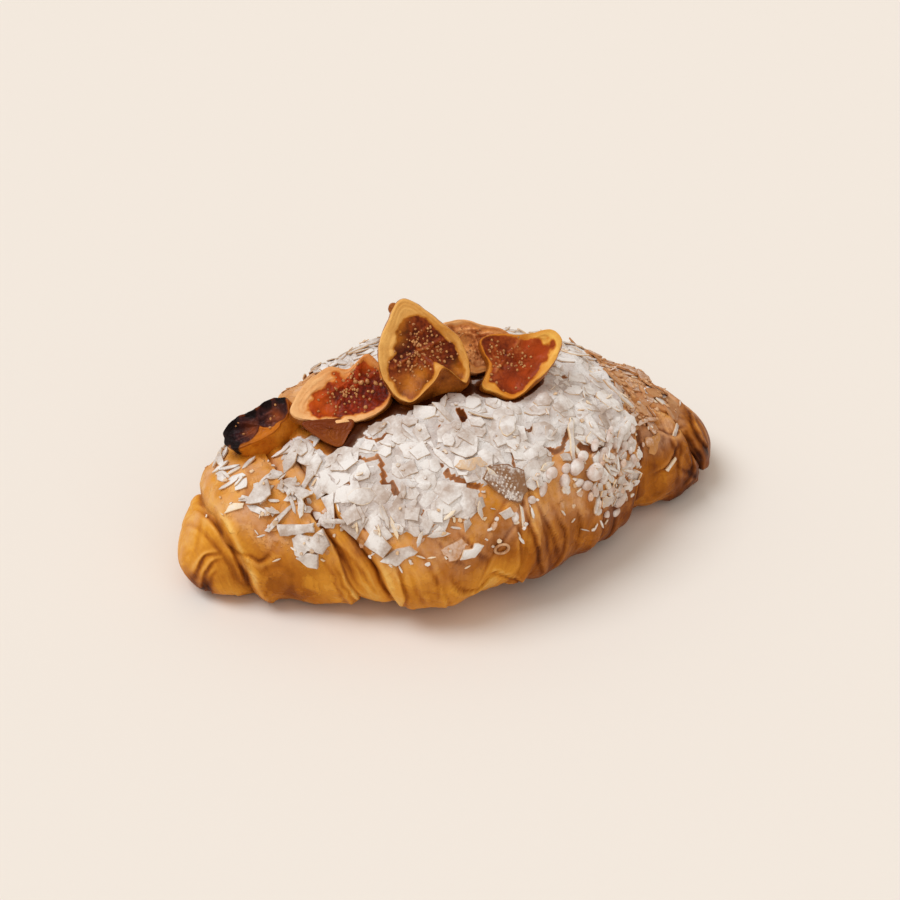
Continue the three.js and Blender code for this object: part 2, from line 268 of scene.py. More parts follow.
def copy_of(model: Mesh, points: Array) -> Mesh:
    """A copy with its own mesh, whose vertices lie at points given in millimetres."""
    twin = model.copy()
    twin.data = model.data.copy()
    bpy.context.scene.collection.objects.link(twin)
    write_points(twin, points * MM)
    return twin


def deliver(
    obj: Mesh, name: str, material: Material, nodes: Sequence[str] = (),
    crease: Optional[float] = None,
) -> Mesh:
    """Names, shades and dresses a finished piece and hangs it on the croissant.

    Args:
        obj: The finished mesh object.
        name: The piece's name.
        material: The piece's material.
        nodes: CAD nodes that the piece stands for.
        crease: Edges sharper than this many degrees stay sharp; none do where it is None.

    Returns:
        The same object.
    """
    obj.name = name
    obj.data.name = name
    only(obj)
    if crease is None:
        bpy.ops.object.shade_smooth()
    else:
        bpy.ops.object.shade_smooth_by_angle(angle=math.radians(crease))
    obj.data.materials.clear()
    obj.data.materials.append(material)
    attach(obj, "root")
    if nodes:
        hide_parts(*nodes)
    triangles = sum(len(p.vertices) - 2 for p in obj.data.polygons)
    LOG.info("%s: %d triangles", name, triangles)
    return obj


# ---------------------------------------------------------------- shader helpers
class Value:
    """A number that changes over a surface; arithmetic on it adds Math nodes."""

    def __init__(self, shader: "Shader", socket: Socket) -> None:
        """Wraps an output socket of a shader's node."""
        self.shader = shader
        self.socket = socket

    def _with(self, operation: str, *numbers: Any, clamp: bool = False) -> "Value":
        """The result of a Math node on these numbers."""
        settings = {"operation": operation, "use_clamp": clamp}
        node = self.shader.node("ShaderNodeMath", settings, dict(enumerate(numbers)))
        return Value(self.shader, node.outputs[0])

    def __add__(self, other: Any) -> "Value":
        """self + other."""
        return self._with("ADD", self, other)

    def __radd__(self, other: Any) -> "Value":
        """other + self."""
        return self._with("ADD", other, self)

    def __sub__(self, other: Any) -> "Value":
        """self - other."""
        return self._with("SUBTRACT", self, other)

    def __rsub__(self, other: Any) -> "Value":
        """other - self."""
        return self._with("SUBTRACT", other, self)

    def __mul__(self, other: Any) -> "Value":
        """self * other."""
        return self._with("MULTIPLY", self, other)

    def __rmul__(self, other: Any) -> "Value":
        """other * self."""
        return self._with("MULTIPLY", other, self)

    def clamped(self) -> "Value":
        """Held between 0 and 1."""
        return self._with("ADD", self, 0.0, clamp=True)

    def rise(self, low: float, high: float) -> "Value":
        """0 below low, 1 above high and a smooth rise between."""
        node = self.shader.node(
            "ShaderNodeMapRange", {"interpolation_type": "SMOOTHSTEP"},
            {"Value": self, "From Min": low, "From Max": high},
        )
        return Value(self.shader, node.outputs[0])


class Shader:
    """Builds one material's nodes around a Principled shader."""

    def __init__(self, name: str, **constants: Any) -> None:
        """Starts a material.

        Args:
            name: The material's name.
            constants: Principled sockets that are the same all over, with _ for a space.
        """
        self.material = bpy.data.materials.new(name)
        self.material.use_nodes = True
        self.tree = self.material.node_tree
        self.principled = self.tree.nodes["Principled BSDF"]
        for key, value in constants.items():
            self.principled.inputs[key.replace("_", " ")].default_value = value
        self.place = self.node("ShaderNodeTexCoord").outputs["Object"]

    def node(self, kind: str, settings: Optional[dict] = None, inputs: Optional[dict] = None) -> Any:
        """Adds a node.

        Args:
            kind: The node's type.
            settings: Its properties; "stops" are a colour ramp's (place, colour) pairs.
            inputs: Values or links for its sockets, by name, identifier or number.

        Returns:
            The node.
        """
        node = self.tree.nodes.new(kind)
        for key, value in (settings or {}).items():
            if key == "stops":
                self._set_stops(node.color_ramp, value)
            else:
                setattr(node, key, value)
        for key, value in (inputs or {}).items():
            self.feed(self._socket(node.inputs, key), value)
        return node

    @staticmethod
    def _set_stops(ramp: bpy.types.ColorRamp, stops: Sequence[tuple[float, Colour]]) -> None:
        """Gives a colour ramp these stops."""
        while len(ramp.elements) < len(stops):
            ramp.elements.new(1.0)
        for element, (place, colour) in zip(ramp.elements, stops):
            element.position = place
            element.color = (*colour, 1.0)

    @staticmethod
    def _socket(sockets: Any, key: Any) -> Socket:
        """A node's socket by number, identifier or name."""
        if isinstance(key, int):
            return sockets[key]
        exact = [s for s in sockets if s.identifier == key]
        return exact[0] if exact else sockets[key]

    def feed(self, socket: Socket, value: Any) -> None:
        """Links or sets an input socket."""
        value = value.socket if isinstance(value, Value) else value
        if isinstance(value, Socket):
            self.tree.links.new(value, socket)
        elif isinstance(value, tuple) and len(value) == 3 and socket.type == "RGBA":
            socket.default_value = (*value, 1.0)
        else:
            socket.default_value = value

    def number(self, name: str) -> Value:
        """A number kept at the vertices."""
        node = self.node("ShaderNodeAttribute", {"attribute_name": name})
        return Value(self, node.outputs["Fac"])

    def vector(self, name: str, stretch: Point) -> Socket:
        """A vector kept at the vertices, times stretch."""
        kept = self.node("ShaderNodeAttribute", {"attribute_name": name}).outputs["Vector"]
        return self.node("ShaderNodeMapping", None, {"Vector": kept, "Scale": stretch}).outputs[0]

    def noise(self, size: float, detail: float = 3.0, place: Any = None, twist: float = 0.0) -> Value:
        """Noise around 0 with bumps of that size in millimetres."""
        inputs = {
            "Vector": self.place if place is None else place,
            "Scale": 1 / (size * MM) if place is None else 1 / size, "Detail": detail, "Distortion": twist,
        }
        return Value(self, self.node("ShaderNodeTexNoise", None, inputs).outputs[0]) - 0.5

    def mix(self, factor: Any, first: Any, second: Any) -> Socket:
        """A colour between two."""
        inputs = {"Factor_Float": factor, "A_Color": first, "B_Color": second}
        node = self.node("ShaderNodeMix", {"data_type": "RGBA"}, inputs)
        return self._socket(node.outputs, "Result_Color")

    def ramp(self, factor: Value, stops: Sequence[tuple[float, Colour]]) -> Socket:
        """A colour picked from stops."""
        return self.node("ShaderNodeValToRGB", {"stops": stops}, {0: factor}).outputs[0]

    def done(self, colour: Any, roughness: Any, height: Any, depth: float) -> Material:
        """Feeds the shader and returns the material.

        Args:
            colour: Base colour.
            roughness: Roughness.
            height: Bump height, about 0 to 1.
            depth: What a height of 1 measures, in millimetres.

        Returns:
            The material.
        """
        bump = self.node("ShaderNodeBump", None, {"Height": height, "Distance": depth * MM})
        self.feed(self.principled.inputs["Base Color"], colour)
        self.feed(self.principled.inputs["Roughness"], roughness)
        self.feed(self.principled.inputs["Normal"], bump.outputs[0])
        return self.material


# ---------------------------------------------------------------- finishes
@dataclass(frozen=True)
class CrustFinish:
    """Baked laminated dough under a veil of icing sugar."""

    name: str = "baked_crust"
    stops: tuple[tuple[float, Colour], ...] = (
        (0.0, (0.86, 0.5, 0.12)), (0.26, (0.7, 0.29, 0.03)), (0.5, (0.44, 0.14, 0.012)),
        (0.74, (0.21, 0.052, 0.005)), (1.0, (0.05, 0.01, 0.002)),
    )
    veil: Colour = (0.7, 0.41, 0.25)
    powder: Colour = (0.74, 0.69, 0.66)
    # Painted shade of the powder in the hollows between flakes.
    hollow_shade_powder: Colour = (0.48, 0.375, 0.325)

    def make(self) -> Material:
        """The material."""
        sh = Shader(self.name, Specular_IOR_Level=0.06)
        toast, sugar, haze = sh.number("toast"), sh.number("sugar"), sh.number("haze")
        strata = sh.number("strata")
        streak = sh.noise(1.5, 3, sh.vector("wrap", (1.0, 0.1, 1.0)), 0.5)
        strand = sh.noise(4.2, 2, sh.vector("wrap", (1.0, 0.14, 1.0)), 0.8)
        blotch, patch, grain = sh.noise(7.0, 4), sh.noise(16.0, 2), sh.noise(0.8, 3)
        lines = sh.noise(0.9, 2, sh.vector("wrap", (1.0, 0.02, 1.0)), 0.1)
        peel = sh.noise(9.0, 5).rise(0.02, 0.06) + sh.noise(4.6, 4).rise(0.03, 0.07)
        peel = peel * (1.0 - strata * 0.8)
        toast = toast + streak * (0.08 + strata * 0.15) + lines * strata * 0.18 + strand * 0.2
        toast = toast + blotch * 0.34 + patch * 0.34 + grain * 0.08 - peel * 0.07
        baked = sh.ramp(toast.clamped(), self.stops)
        veil = 0.38 + sh.noise(2.8, 5) * 1.2 + grain * 0.5 + peel * 0.16 + patch * 0.9
        veil = (haze * veil).clamped()
        baked = sh.mix(veil, baked, self.veil)
        cover = (sugar + sh.noise(2.4, 5) * 0.7 + grain * 0.4).rise(0.36, 0.62)
        cover = cover * (1.0 - sh.noise(1.5, 1).rise(0.27, 0.32) * 0.7)
        # The powder between the flakes is painted darker in patches of noise, as shade in its hollows.
        unshaded = (sh.noise(3.4, 3) * 1.8 + patch * 2.0 + 0.72).clamped()
        white = sh.mix(unshaded, self.hollow_shade_powder, self.powder)
        colour = sh.mix(cover, baked, white)
        roughness = (0.4 + blotch * 0.25 + veil * 0.25 + cover * 0.42).clamped()
        height = streak * 0.25 + lines * strata * 0.5 + peel * 0.4 + grain * 0.45
        height = height + sh.noise(2.2, 4) * 0.5 + sh.noise(0.45, 2) * cover * 0.6
        return sh.done(colour, roughness, height, 0.34)


@dataclass(frozen=True)
class AlmondFinish:
    """Flaked almonds, bare to well sugared."""

    name: str
    ivory: Colour = (0.86, 0.7, 0.5)
    toasted: Colour = (0.6, 0.31, 0.12)
    edge: Colour = (0.58, 0.33, 0.15)
    powder: Colour = (0.81, 0.755, 0.72)
    shade: Colour = (0.47, 0.36, 0.295)

    def make(self) -> Material:
        """The material."""
        sh = Shader(self.name, Specular_IOR_Level=0.25)
        top, tint, sugar = sh.number("top"), sh.number("tint"), sh.number("sugar")
        fine, broad, wide = sh.noise(0.8, 3), sh.noise(3.0, 3), sh.noise(9.0, 2)
        nut = sh.mix((tint + broad * 0.7 - 0.12).clamped(), self.ivory, self.toasted)
        nut = sh.mix((0.55 - top + fine * 0.5).rise(0.0, 0.5), nut, self.edge)
        cover = (sugar + top * 1.1 - 1.0 + broad * 0.8 + fine * 0.6).rise(0.15, 0.6)
        # Painted shade: the powder darkens toward each plate's rim, as in the hollows between flakes, and
        # varies with noise.
        unshaded = (0.1 + top * 0.55 + broad * 1.3 + wide * 3.2 + fine * 0.9).clamped()
        white = sh.mix(unshaded, self.shade, self.powder)
        colour = sh.mix(cover, nut, white)
        height = sh.noise(1.6, 3) * 0.5 + fine * 0.35 + sh.noise(0.35, 2) * cover * 0.3
        return sh.done(colour, 0.55 + cover * 0.35, height, 0.26)


@dataclass(frozen=True)
class FigFinish:
    """Roasted fig: pale flesh at the rim that turns amber, then pulp; skin outside, and char."""

    name: str
    pale: Colour = (0.8, 0.5, 0.22)
    amber: Colour = (0.66, 0.25, 0.03)
    pulp: tuple[tuple[float, Colour], ...] = (
        (0.0, (0.045, 0.005, 0.002)), (0.35, (0.17, 0.013, 0.002)), (0.65, (0.34, 0.032, 0.004)),
        (1.0, (0.52, 0.11, 0.02)),
    )
    skin: Colour = (0.5, 0.16, 0.018)
    skin_shade: Colour = (0.16, 0.032, 0.004)
    glow: Colour = (0.52, 0.075, 0.004)
    char: Colour = (0.012, 0.006, 0.006)

    def make(self) -> Material:
        """The material."""
        sh = Shader(self.name, Specular_IOR_Level=0.1, Coat_Weight=0.02, Coat_Roughness=0.2)
        ripe, skin, pallor = sh.number("ripe"), sh.number("skin"), sh.number("pallor")
        relief, glow, char = sh.number("relief"), sh.number("glow"), sh.number("char")
        fine, broad, grain = sh.noise(0.9, 3), sh.noise(4.0, 3), sh.noise(0.4, 2)
        # Raised grains and membranes are painted lighter: a painted highlight on the pulp.
        inner = sh.ramp((relief + fine * 0.55 + broad * 0.4).clamped(), self.pulp)
        inner = sh.mix((glow * (0.95 + broad * 0.9 + fine * 0.6)).clamped(), inner, self.glow)
        flesh = sh.mix((pallor + broad * 0.8 + fine * 0.35).clamped(), self.amber, self.pale)
        flesh = sh.mix((ripe + broad * 0.5 + fine * 0.3).rise(0.12, 0.5), flesh, self.amber)
        outer = sh.mix((0.42 + broad * 1.8 + fine * 0.6).clamped(), self.skin, self.skin_shade)
        colour = sh.mix((skin + fine * 0.5).rise(0.3, 0.7), flesh, outer)
        colour = sh.mix((ripe + fine * 0.5 + broad * 0.5).rise(0.42, 0.78), colour, inner)
        burnt = (char + broad * 0.6 + fine * 0.5).rise(0.38, 0.72)
        colour = sh.mix(burnt, colour, self.char)
        roughness = (0.36 + fine * 0.25 + burnt * 0.3).clamped()
        return sh.done(colour, roughness, fine * 0.6 + grain * 0.35 + burnt * fine * 1.5, 0.28)


@dataclass(frozen=True)
class PlainFinish:
    """One lightly mottled finish, such as seeds or nibs."""

    name: str
    light: Colour
    dark: Colour
    rough: float
    size: float

    def make(self) -> Material:
        """The material."""
        sh = Shader(self.name)
        colour = sh.mix((sh.noise(self.size, 3) * 2.4 + 0.5).clamped(), self.light, self.dark)
        roughness = (self.rough + sh.noise(self.size, 2) * 0.2).clamped()
        return sh.done(colour, roughness, sh.noise(0.5, 3), 0.15)


# ---------------------------------------------------------------- croissant body
# The bands of dough between the seams, from the left tip to the right one.
NUB, FIRST_WRAP, STRETCHED, LEFT_WRAP, RIGHT_WRAP, LAST_WRAP, TIP = range(7)


@dataclass(frozen=True)
class Band:
    """What lies between two seams (see the part's own bands), and how its crust is finished."""

    start: float
    end: float
    swell: float
    ledges: int
    drop: float
    columns: int
    layers: float
    folds: float
    blisters: float
    toast: float
    creases: int


@dataclass(frozen=True)
class Fold:
    """A layer's edge that shows on the crust.

    Its path is [x, degrees above the widest line]. The crust stands up by rise on the path's left, or on
    its right where rise is below zero, and comes back over its reach. Its groove is darker by shade, partly
    browning and partly painted shade, and the lip beside it is painted paler as a painted highlight.
    """

    path: Path
    rise: float
    reach: float = 4.0
    shade: float = 0.2


@dataclass
class CroissantBody:
    """The rolled dough: its profile, wraps, seams and crust."""

    centre: Pair = (-1.0, 2.4)
    profile: tuple[tuple[float, float, float, float], ...] = (
        (-86, 19, 13, 13), (-72.3, 31, 18, 19), (-51, 41.5, 32.5, 32), (-25.5, 49, 49.5, 44),
        (0, 54.5, 52, 46), (25.5, 49.5, 42.5, 40), (51, 39.5, 28, 28), (74, 25.5, 20, 20),
        (88, 18.5, 14.5, 14.5),
    )
    cap_length: float = 13.6
    waist: float = 0.42
    upper_round: float = 2.25
    lower_round: float = 2.8
    base_spread: float = 1.1
    foot_fade: float = 3.0
    crag_height: float = 0.45
    ledge_fill: float = 0.93
    tip_crowding: float = 1.9
    seam_run: float = 0.32
    segments: int = 264
    seed: int = 6
    seams: Path = ((-70.9, -5.3), (-47.0, -9.5), (-38.5, -11.5), (1.5, 7.0), (47.9, 3.6), (76.0, -8.0))
    # The order of the numbers is that of the fields of Band.
    bands: tuple[Band, ...] = tuple(Band(*row) for row in (
        (0.2, -1.6, 0.8, 3, 0.6, 46, 0.08, 0.08, 0.06, 0.2, 2),
        (1.1, -0.2, 1.2, 1, 0, 44, 0.1, 0.4, 0.6, 0.34, 7),
        (-1.1, -1.6, 0.2, 1, 0, 22, 0.3, 0.6, 0.05, 0.25, 4),
        (1, -1.2, 1.5, 1, 0, 86, 0.1, 0.6, 0.55, 0.36, 15),
        (-0.7, 1.4, 1.2, 1, 0, 82, 0.1, 0.6, 0.45, 0.42, 15),
        (-1.3, 1.2, 1.1, 1, 0, 46, 0.2, 0.5, 0.75, 0.46, 8),
        (-1.1, 0, 0.3, 2, -0.9, 34, 0.2, 0.35, 0.5, 0.45, 6),
    ))
    folds: tuple[Fold, ...] = tuple(Fold(*row) for row in (
        # The pale nub: layers one behind another, and the dark folds of its tip.
        (((-79, 118), (-76.4, 79), (-74.6, 51), (-73.3, 22), (-71.5, -2), (-67, -41)), 1.1, 5, 0.3),
        (((-81.3, 111), (-78.1, 67), (-76, 36), (-73.7, 6), (-70.1, -22)), 0.8, 3, 0.2),
        (((-82.3, 116), (-79.4, 70), (-76.6, 28), (-73.8, 0), (-70.6, -24)), 0.9, 3, 0.26),
        (((-84.4, -4), (-83.4, 26), (-81.6, 38), (-79.6, 35), (-77.4, 29)), 0.8, 3, 0.42),
        (((-82.6, -51), (-82.8, 0), (-81.2, 20), (-79.2, 25), (-76.8, 21)), 0.9, 3, 0.45),
        (((-80.9, -52), (-81.8, -9), (-80.8, 8), (-78.6, 12)), 0.6, 3, 0.35),
        # The first wrap: a lapped corner low on its left and a large smooth blister.
        (((-73.5, 20), (-72.9, 10), (-70.6, -1), (-69.1, -14), (-67.1, -29)), 1, 4, 0.3),
        (((-73.3, 19), (-70.8, 17), (-68.4, 10), (-65.1, 13), (-64.3, 20)), -0.9, 3, 0.28),
        (((-68.4, -4), (-67.2, 4), (-64, 7), (-61.2, 3), (-61.6, -6), (-63.5, -19)), -0.6, 4, 0.06),
        (((-73.9, 42), (-72.2, 49), (-69.6, 45), (-67.7, 38), (-68.6, 29)), -0.5, 4, 0.1),
        # The stretched dough between the first two wraps.
        (((-59.3, 84), (-55.5, 61), (-52.8, 40), (-50, 21), (-46.8, 1), (-42.2, -19)), -0.7, 3, 0.16),
        (((-51.5, 58), (-50.8, 38), (-48.4, 22), (-45.2, 4), (-40.8, -16)), 0.8, 3, 0.16),
        (((-42.4, 30), (-40.8, 17), (-39.2, 4), (-36.6, -10), (-33.4, -33)), 0.9, 4, 0.18),
        (((-52.8, 14), (-50, 0), (-46.8, -20), (-44.5, -38)), 0.7, 2, 0.18),
        (((-50.6, 11), (-47.8, -3), (-44.8, -18), (-41.8, -37)), 0.8, 2, 0.2),
        (((-47.1, 19), (-44.8, 9), (-41.5, -1), (-38.6, -16)), 0.7, 2, 0.2),
        # Drapes along the lower front of the two widest wraps.
        (((-36.8, 13), (-35.2, 3), (-34.1, -8), (-33.1, -34)), -1, 3, 0.24),
        (((-32.4, 8), (-30.9, -1), (-28.3, -16)), 0.6, 4, 0.12),
        (((-27, 4), (-24, -6), (-22, -20), (-21, -34)), -0.8, 5, 0.16),
        (((-23, 2), (-19, -8), (-14, -15), (-9.2, -12), (-6, -6)), -1, 4, 0.26),
        (((-9.6, -5), (-5.5, -8), (-1, -14), (2.5, -26)), 1.2, 4, 0.42),
        (((-26.1, 29), (-23.8, 19), (-19.9, 9), (-16.4, 2)), 0.8, 3, 0.24),
        (((-18.4, 26), (-15.2, 14), (-12, 6), (-8.6, -1)), 0.8, 3, 0.26),
        (((-9, -30), (-2.1, -28), (1.4, -20), (3.6, -11)), 0.7, 3, 0.2),
        (((1.2, 36), (2.5, 22), (3.8, 11), (5.8, -2), (9, -20)), 1.1, 3, 0.3),
        (((4.6, 34), (6.7, 23), (9.2, 12), (12, 0), (15, -14)), 0.8, 3, 0.22),
        (((-2.9, 25), (-1.3, 14), (-0.6, 5), (0.4, -8)), -0.7, 2, 0.2),
        (((11.4, 22), (13.6, 10), (16.4, 1), (15, -9), (12, -20)), 0.8, 4, 0.22),
        (((20.4, 22), (21.6, 10), (22.6, -2), (21, -16)), 0.8, 4, 0.18),
        (((28.4, 13), (30.4, 2), (30.6, -8), (29, -22)), -0.9, 5, 0.22),
        (((37, 4), (38.4, -6), (37.6, -18), (35, -32)), 0.7, 4, 0.18),
        # The right-hand wrap and the dark end.
        (((53.4, 48), (52.4, 31), (50.8, 17), (48.1, 8), (46.8, -6)), 0.8, 3, 0.2),
        (((54.6, 45), (58.4, 44), (61.6, 41), (65.1, 36), (68.6, 44), (74.4, 53)), -1.1, 4, 0.36),
        (((66, 36), (64, 22), (60.2, 12), (54.6, 5)), -0.9, 5, 0.24),
        (((68.4, 35), (66.6, 20), (65.6, 8), (65.6, -6)), 0.7, 3, 0.16),
        (((72, 30), (72.4, 12), (71.5, -1), (68.4, -12)), 0.7, 3, 0.18),
        (((68.1, 112), (68.1, 92), (70.1, 82), (71.5, 70), (75.2, 62)), 1, 3, 0.34),
        (((57, 56), (60, 62), (64.6, 60), (69, 52)), -0.9, 3, 0.26),
        (((80.5, 82), (77.6, 60), (76.8, 42), (80.2, 24), (82, 4)), 1.3, 3, 0.46),
        (((73.7, 54), (73.9, 33), (78, 12), (79.2, -19)), 0.9, 3, 0.26),
        (((80.5, 78), (82, 58), (82.6, 34), (82.2, 6)), -0.6, 2, 0.34),
    ))
    # Lower edge of the heavy sugar and of its thin veil: [x, degrees above the widest line].
    sugar_line: Path = (
        (-55, 110), (-53.5, 90), (-48.5, 76), (-47.8, 56), (-45.8, 42), (-44, 33), (-40.5, 30), (-33.4, 30),
        (-26, 28), (-19.6, 28), (-13.5, 30), (-9.2, 39), (-4, 41), (1.7, 36), (8.4, 34), (14, 38), (20, 43),
        (27, 40), (34.5, 37), (40, 40), (46.6, 44), (48.4, 60), (49.2, 82), (50.5, 110),
    )
    haze_line: Path = (
        (-78, 70), (-72, 40), (-66, 16), (-58, 4), (-50, 4), (-46, 24), (-42, 12), (-36, -2), (-14, -6),
        (2, 4), (12, 8), (32, -6), (44, -6), (50, 16), (62, 24), (72, 40), (78, 84), (84, 95),
    )
    # Cracks and hollows in the heavy sugar: its path, [x, degrees], and half its width in mm.
    gaps: tuple[tuple[Path, float], ...] = (
        (((-16.4, 48), (-13.2, 42), (-10, 38)), 1.9), (((-33.4, 52), (-31.6, 53), (-30.9, 45)), 1),
        (((-32, 65), (-32.7, 58), (-33.8, 52)), 0.9), (((-17.2, 55), (-16, 50), (-15.2, 45)), 0.7),
        (((-12.8, 70), (-12.4, 68), (-11.2, 65)), 0.7), (((-26.4, 37), (-25.7, 32), (-24.6, 27)), 0.9),
        (((-2.5, 43), (-0.8, 41)), 0.8), (((3.4, 47), (3, 42), (2.5, 36)), 0.8),
        (((14.8, 45), (17.2, 42), (19.9, 43), (24.6, 51)), 1.4), (((26.4, 42), (29.8, 38), (33.8, 37)), 1.9),
        (((30.9, 80), (34.5, 80)), 0.9), (((-33.1, 76), (-30.5, 72), (-25.3, 74)), 1.4),
        (((-38.7, 70), (-35.9, 65), (-32, 64)), 1), (((-32.7, 53), (-32, 48), (-31, 44)), 1),
        (((-41.5, 30), (-39.8, 36)), 1), (((-43, 60), (-41.5, 54)), 0.8),
        (((8, 58), (12, 55), (15, 57)), 0.7), (((38, 60), (40, 66), (39, 72)), 0.7),
    )
    # Places that are browner than the rest, or paler: [x, degrees, radius in mm, strength].
    brown_spots: tuple[tuple[float, float, float, float], ...] = (
        (-82.5, -46, 6, 0.48), (-84, -10, 4, 0.3), (-78, 22, 6, 0.12), (-67, 2, 8, 0.1), (-65, 40, 7, 0.14),
        (-60, -20, 8, 0.2), (-44, 16, 5, 0.18), (-40, -20, 8, -0.1), (-30, -6, 7, 0.14), (-20, 6, 9, 0.2),
        (-14, -18, 8, -0.08), (-6, 8, 7, 0.28), (2, -24, 8, -0.02), (16, 0, 9, -0.04), (38, 4, 8, 0.22),
        (51, 10, 4, -0.16), (57, 34, 7, 0.24), (65, 12, 7, -0.12), (70, 78, 7, 0.1), (77, 58, 6, 0.16),
        (80, 28, 7, 0.22), (84, 60, 7, 0.08), (70, -20, 8, 0.16),
    )

    def __post_init__(self) -> None:
        """Reads the tables into arrays and adds the folds that the front doesn't show."""
        table = np.array(self.profile)
        self.stations, self.heights = table[:, 0], table[:, 1]
        self.fronts, self.backs = table[:, 2], table[:, 3]
        self.left_tip, self.right_tip = table[0, 0], table[-1, 0]
        self.at = np.array([s[0] for s in self.seams])
        self.lean = np.array([s[1] for s in self.seams])
        rng = np.random.default_rng(self.seed)
        self.all_folds = list(self.folds)
        for k, band in enumerate(self.bands):
            self.all_folds += [self._spare_fold(k, rng) for _ in range(band.creases)]

    def _spare_fold(self, k: int, rng: Random) -> Fold:
        """A fold that runs with the seams somewhere on a band, mostly at the back."""
        share, drift = rng.uniform(0.1, 0.9), rng.normal(0, 0.16)
        first = rng.choice([rng.uniform(105, 200), rng.uniform(-45, 190)], p=[0.65, 0.35])
        degrees = first + np.linspace(0, rng.uniform(24, 62), 6)
        band = np.full(6, k)
        start, end = self.seam_x(band - 1, np.radians(degrees)), self.seam_x(band, np.radians(degrees))
        x = start + (end - start) * np.clip(share + drift * np.linspace(-1, 1, 6), 0.04, 0.96)
        rise = rng.choice([-1, 1]) * rng.uniform(0.35, 0.9) * (1.0 if first > 100 else 0.55)
        return Fold(tuple(zip(x, degrees)), rise, rng.uniform(2.5, 5), rng.uniform(0.08, 0.24))

    def seam_x(self, k: Array, angle: Array) -> Array:
        """Where the seam or tip right of band k lies at an angle round the section."""
        inner = np.clip(k, 0, len(self.seams) - 1)
        waver = 0.9 * bumps(rows(angle * 3.1, k * 7.0), 1.0, 11)
        x = self.at[inner] + self.lean[inner] * np.sin(angle) + waver
        x = np.where(k < 0, self.left_tip, x)
        return np.where(k >= len(self.seams), self.right_tip, x)

    def of_band(self, name: str, k: Array) -> Array:
        """One figure of each point's band."""
        return np.array([getattr(band, name) for band in self.bands], float)[k]

    def shell(self, x: Array, angle: Array, relief: Array) -> Array:
        """Points of the body's surface, moved out by relief.

        Args:
            x: Places along the body.
            angle: Places round the section: 0 at the front, a quarter turn on top.
            relief: How far each point stands off the plain body.

        Returns:
            The points, in millimetres.
        """
        height = through(self.stations, self.heights, x)
        front = through(self.stations, self.fronts, x)
        back = through(self.stations, self.backs, x)
        along, up = np.cos(angle), np.sin(angle)
        half = np.where(along > 0, front, back)
        to_tip = np.minimum(x - self.left_tip, self.right_tip - x)
        cap = np.sqrt(np.maximum(0, 1 - np.maximum(0, 1 - to_tip / self.cap_length) ** 2.2))
        waist = self.waist * height
        y = -half * cap * np.sign(along) * np.abs(along) ** (2 / self.upper_round)
        lowered = np.minimum(1, self.base_spread * np.abs(up) ** (2 / self.lower_round))
        above = waist + (height - waist) * cap * np.maximum(up, 0) ** (2 / self.upper_round)
        z = np.where(up >= 0, above, waist - waist * lowered * cap)
        reach = np.maximum(np.hypot(y, z - waist), 1e-6)
        push = relief * cap * smoothstep(z, -0.01, self.foot_fade)
        lifted = np.maximum(0, z + push * (z - waist) / reach)
        return rows(x + self.centre[0], y + push * y / reach + self.centre[1], lifted)

    def unrolled(self, x: Array, degrees: Array) -> Array:
        """Places on the crust laid flat, about true to size."""
        front, height = through(self.stations, self.fronts, x), through(self.stations, self.heights, x)
        radius = 0.45 * front + 0.35 * height
        return rows(x, np.radians(degrees) * radius)

    def folded(self, angle: Array) -> Array:
        """Degrees above the widest line, the same on both sides."""
        degrees = np.degrees(angle)
        return np.where(degrees > 90, 180 - degrees, degrees)

    def above_line(self, line: Sequence[Pair], x: Array, angle: Array) -> Array:
        """Millimetres, about, by which points lie above a line on the crust."""
        lowest = np.interp(x, [p[0] for p in line], [p[1] for p in line])
        radius = 0.5 * (through(self.stations, self.heights, x) + 14)
        return np.radians(self.folded(angle) - lowest) * radius * 1.5

    def heavy_sugar(self, x: Array, angle: Array) -> Array:
        """Millimetres, about, by which points lie inside the heavy sugar, with its gaps."""
        inside = self.above_line(self.sugar_line, x, angle)
        flat = self.unrolled(x, np.degrees(angle))
        inside = np.minimum(inside, 12) + 2.4 * crags(flat, 7, 41)
        # There is none at the back on the left, or toward the right end.
        back_left = 22 * smoothstep(np.degrees(angle), 88, 106) * smoothstep(-x, 24, 36)
        inside -= back_left + 30 * smoothstep(x, 58, 62)
        return inside - 18 * self.gap_depth(x, angle)

    def gap_depth(self, x: Array, angle: Array) -> Array:
        """How far points lie in a crack or hollow of the heavy sugar, from 0 to 1."""
        flat = self.unrolled(x, np.degrees(angle))
        flat = flat + 0.5 * rows(bumps(flat, 2.0, 43), bumps(flat, 2.0, 47))
        depth = np.zeros_like(x)
        for path, half in self.gaps:
            line = self.unrolled(*np.array(path, float).T)
            near = (np.abs(flat - line.mean(0)) < 14).all(-1)
            away = distance_to_path(flat[near], line)
            depth[near] = np.maximum(depth[near], 1 - smoothstep(away, 0.35 * half, 0.85 * half))
        return depth

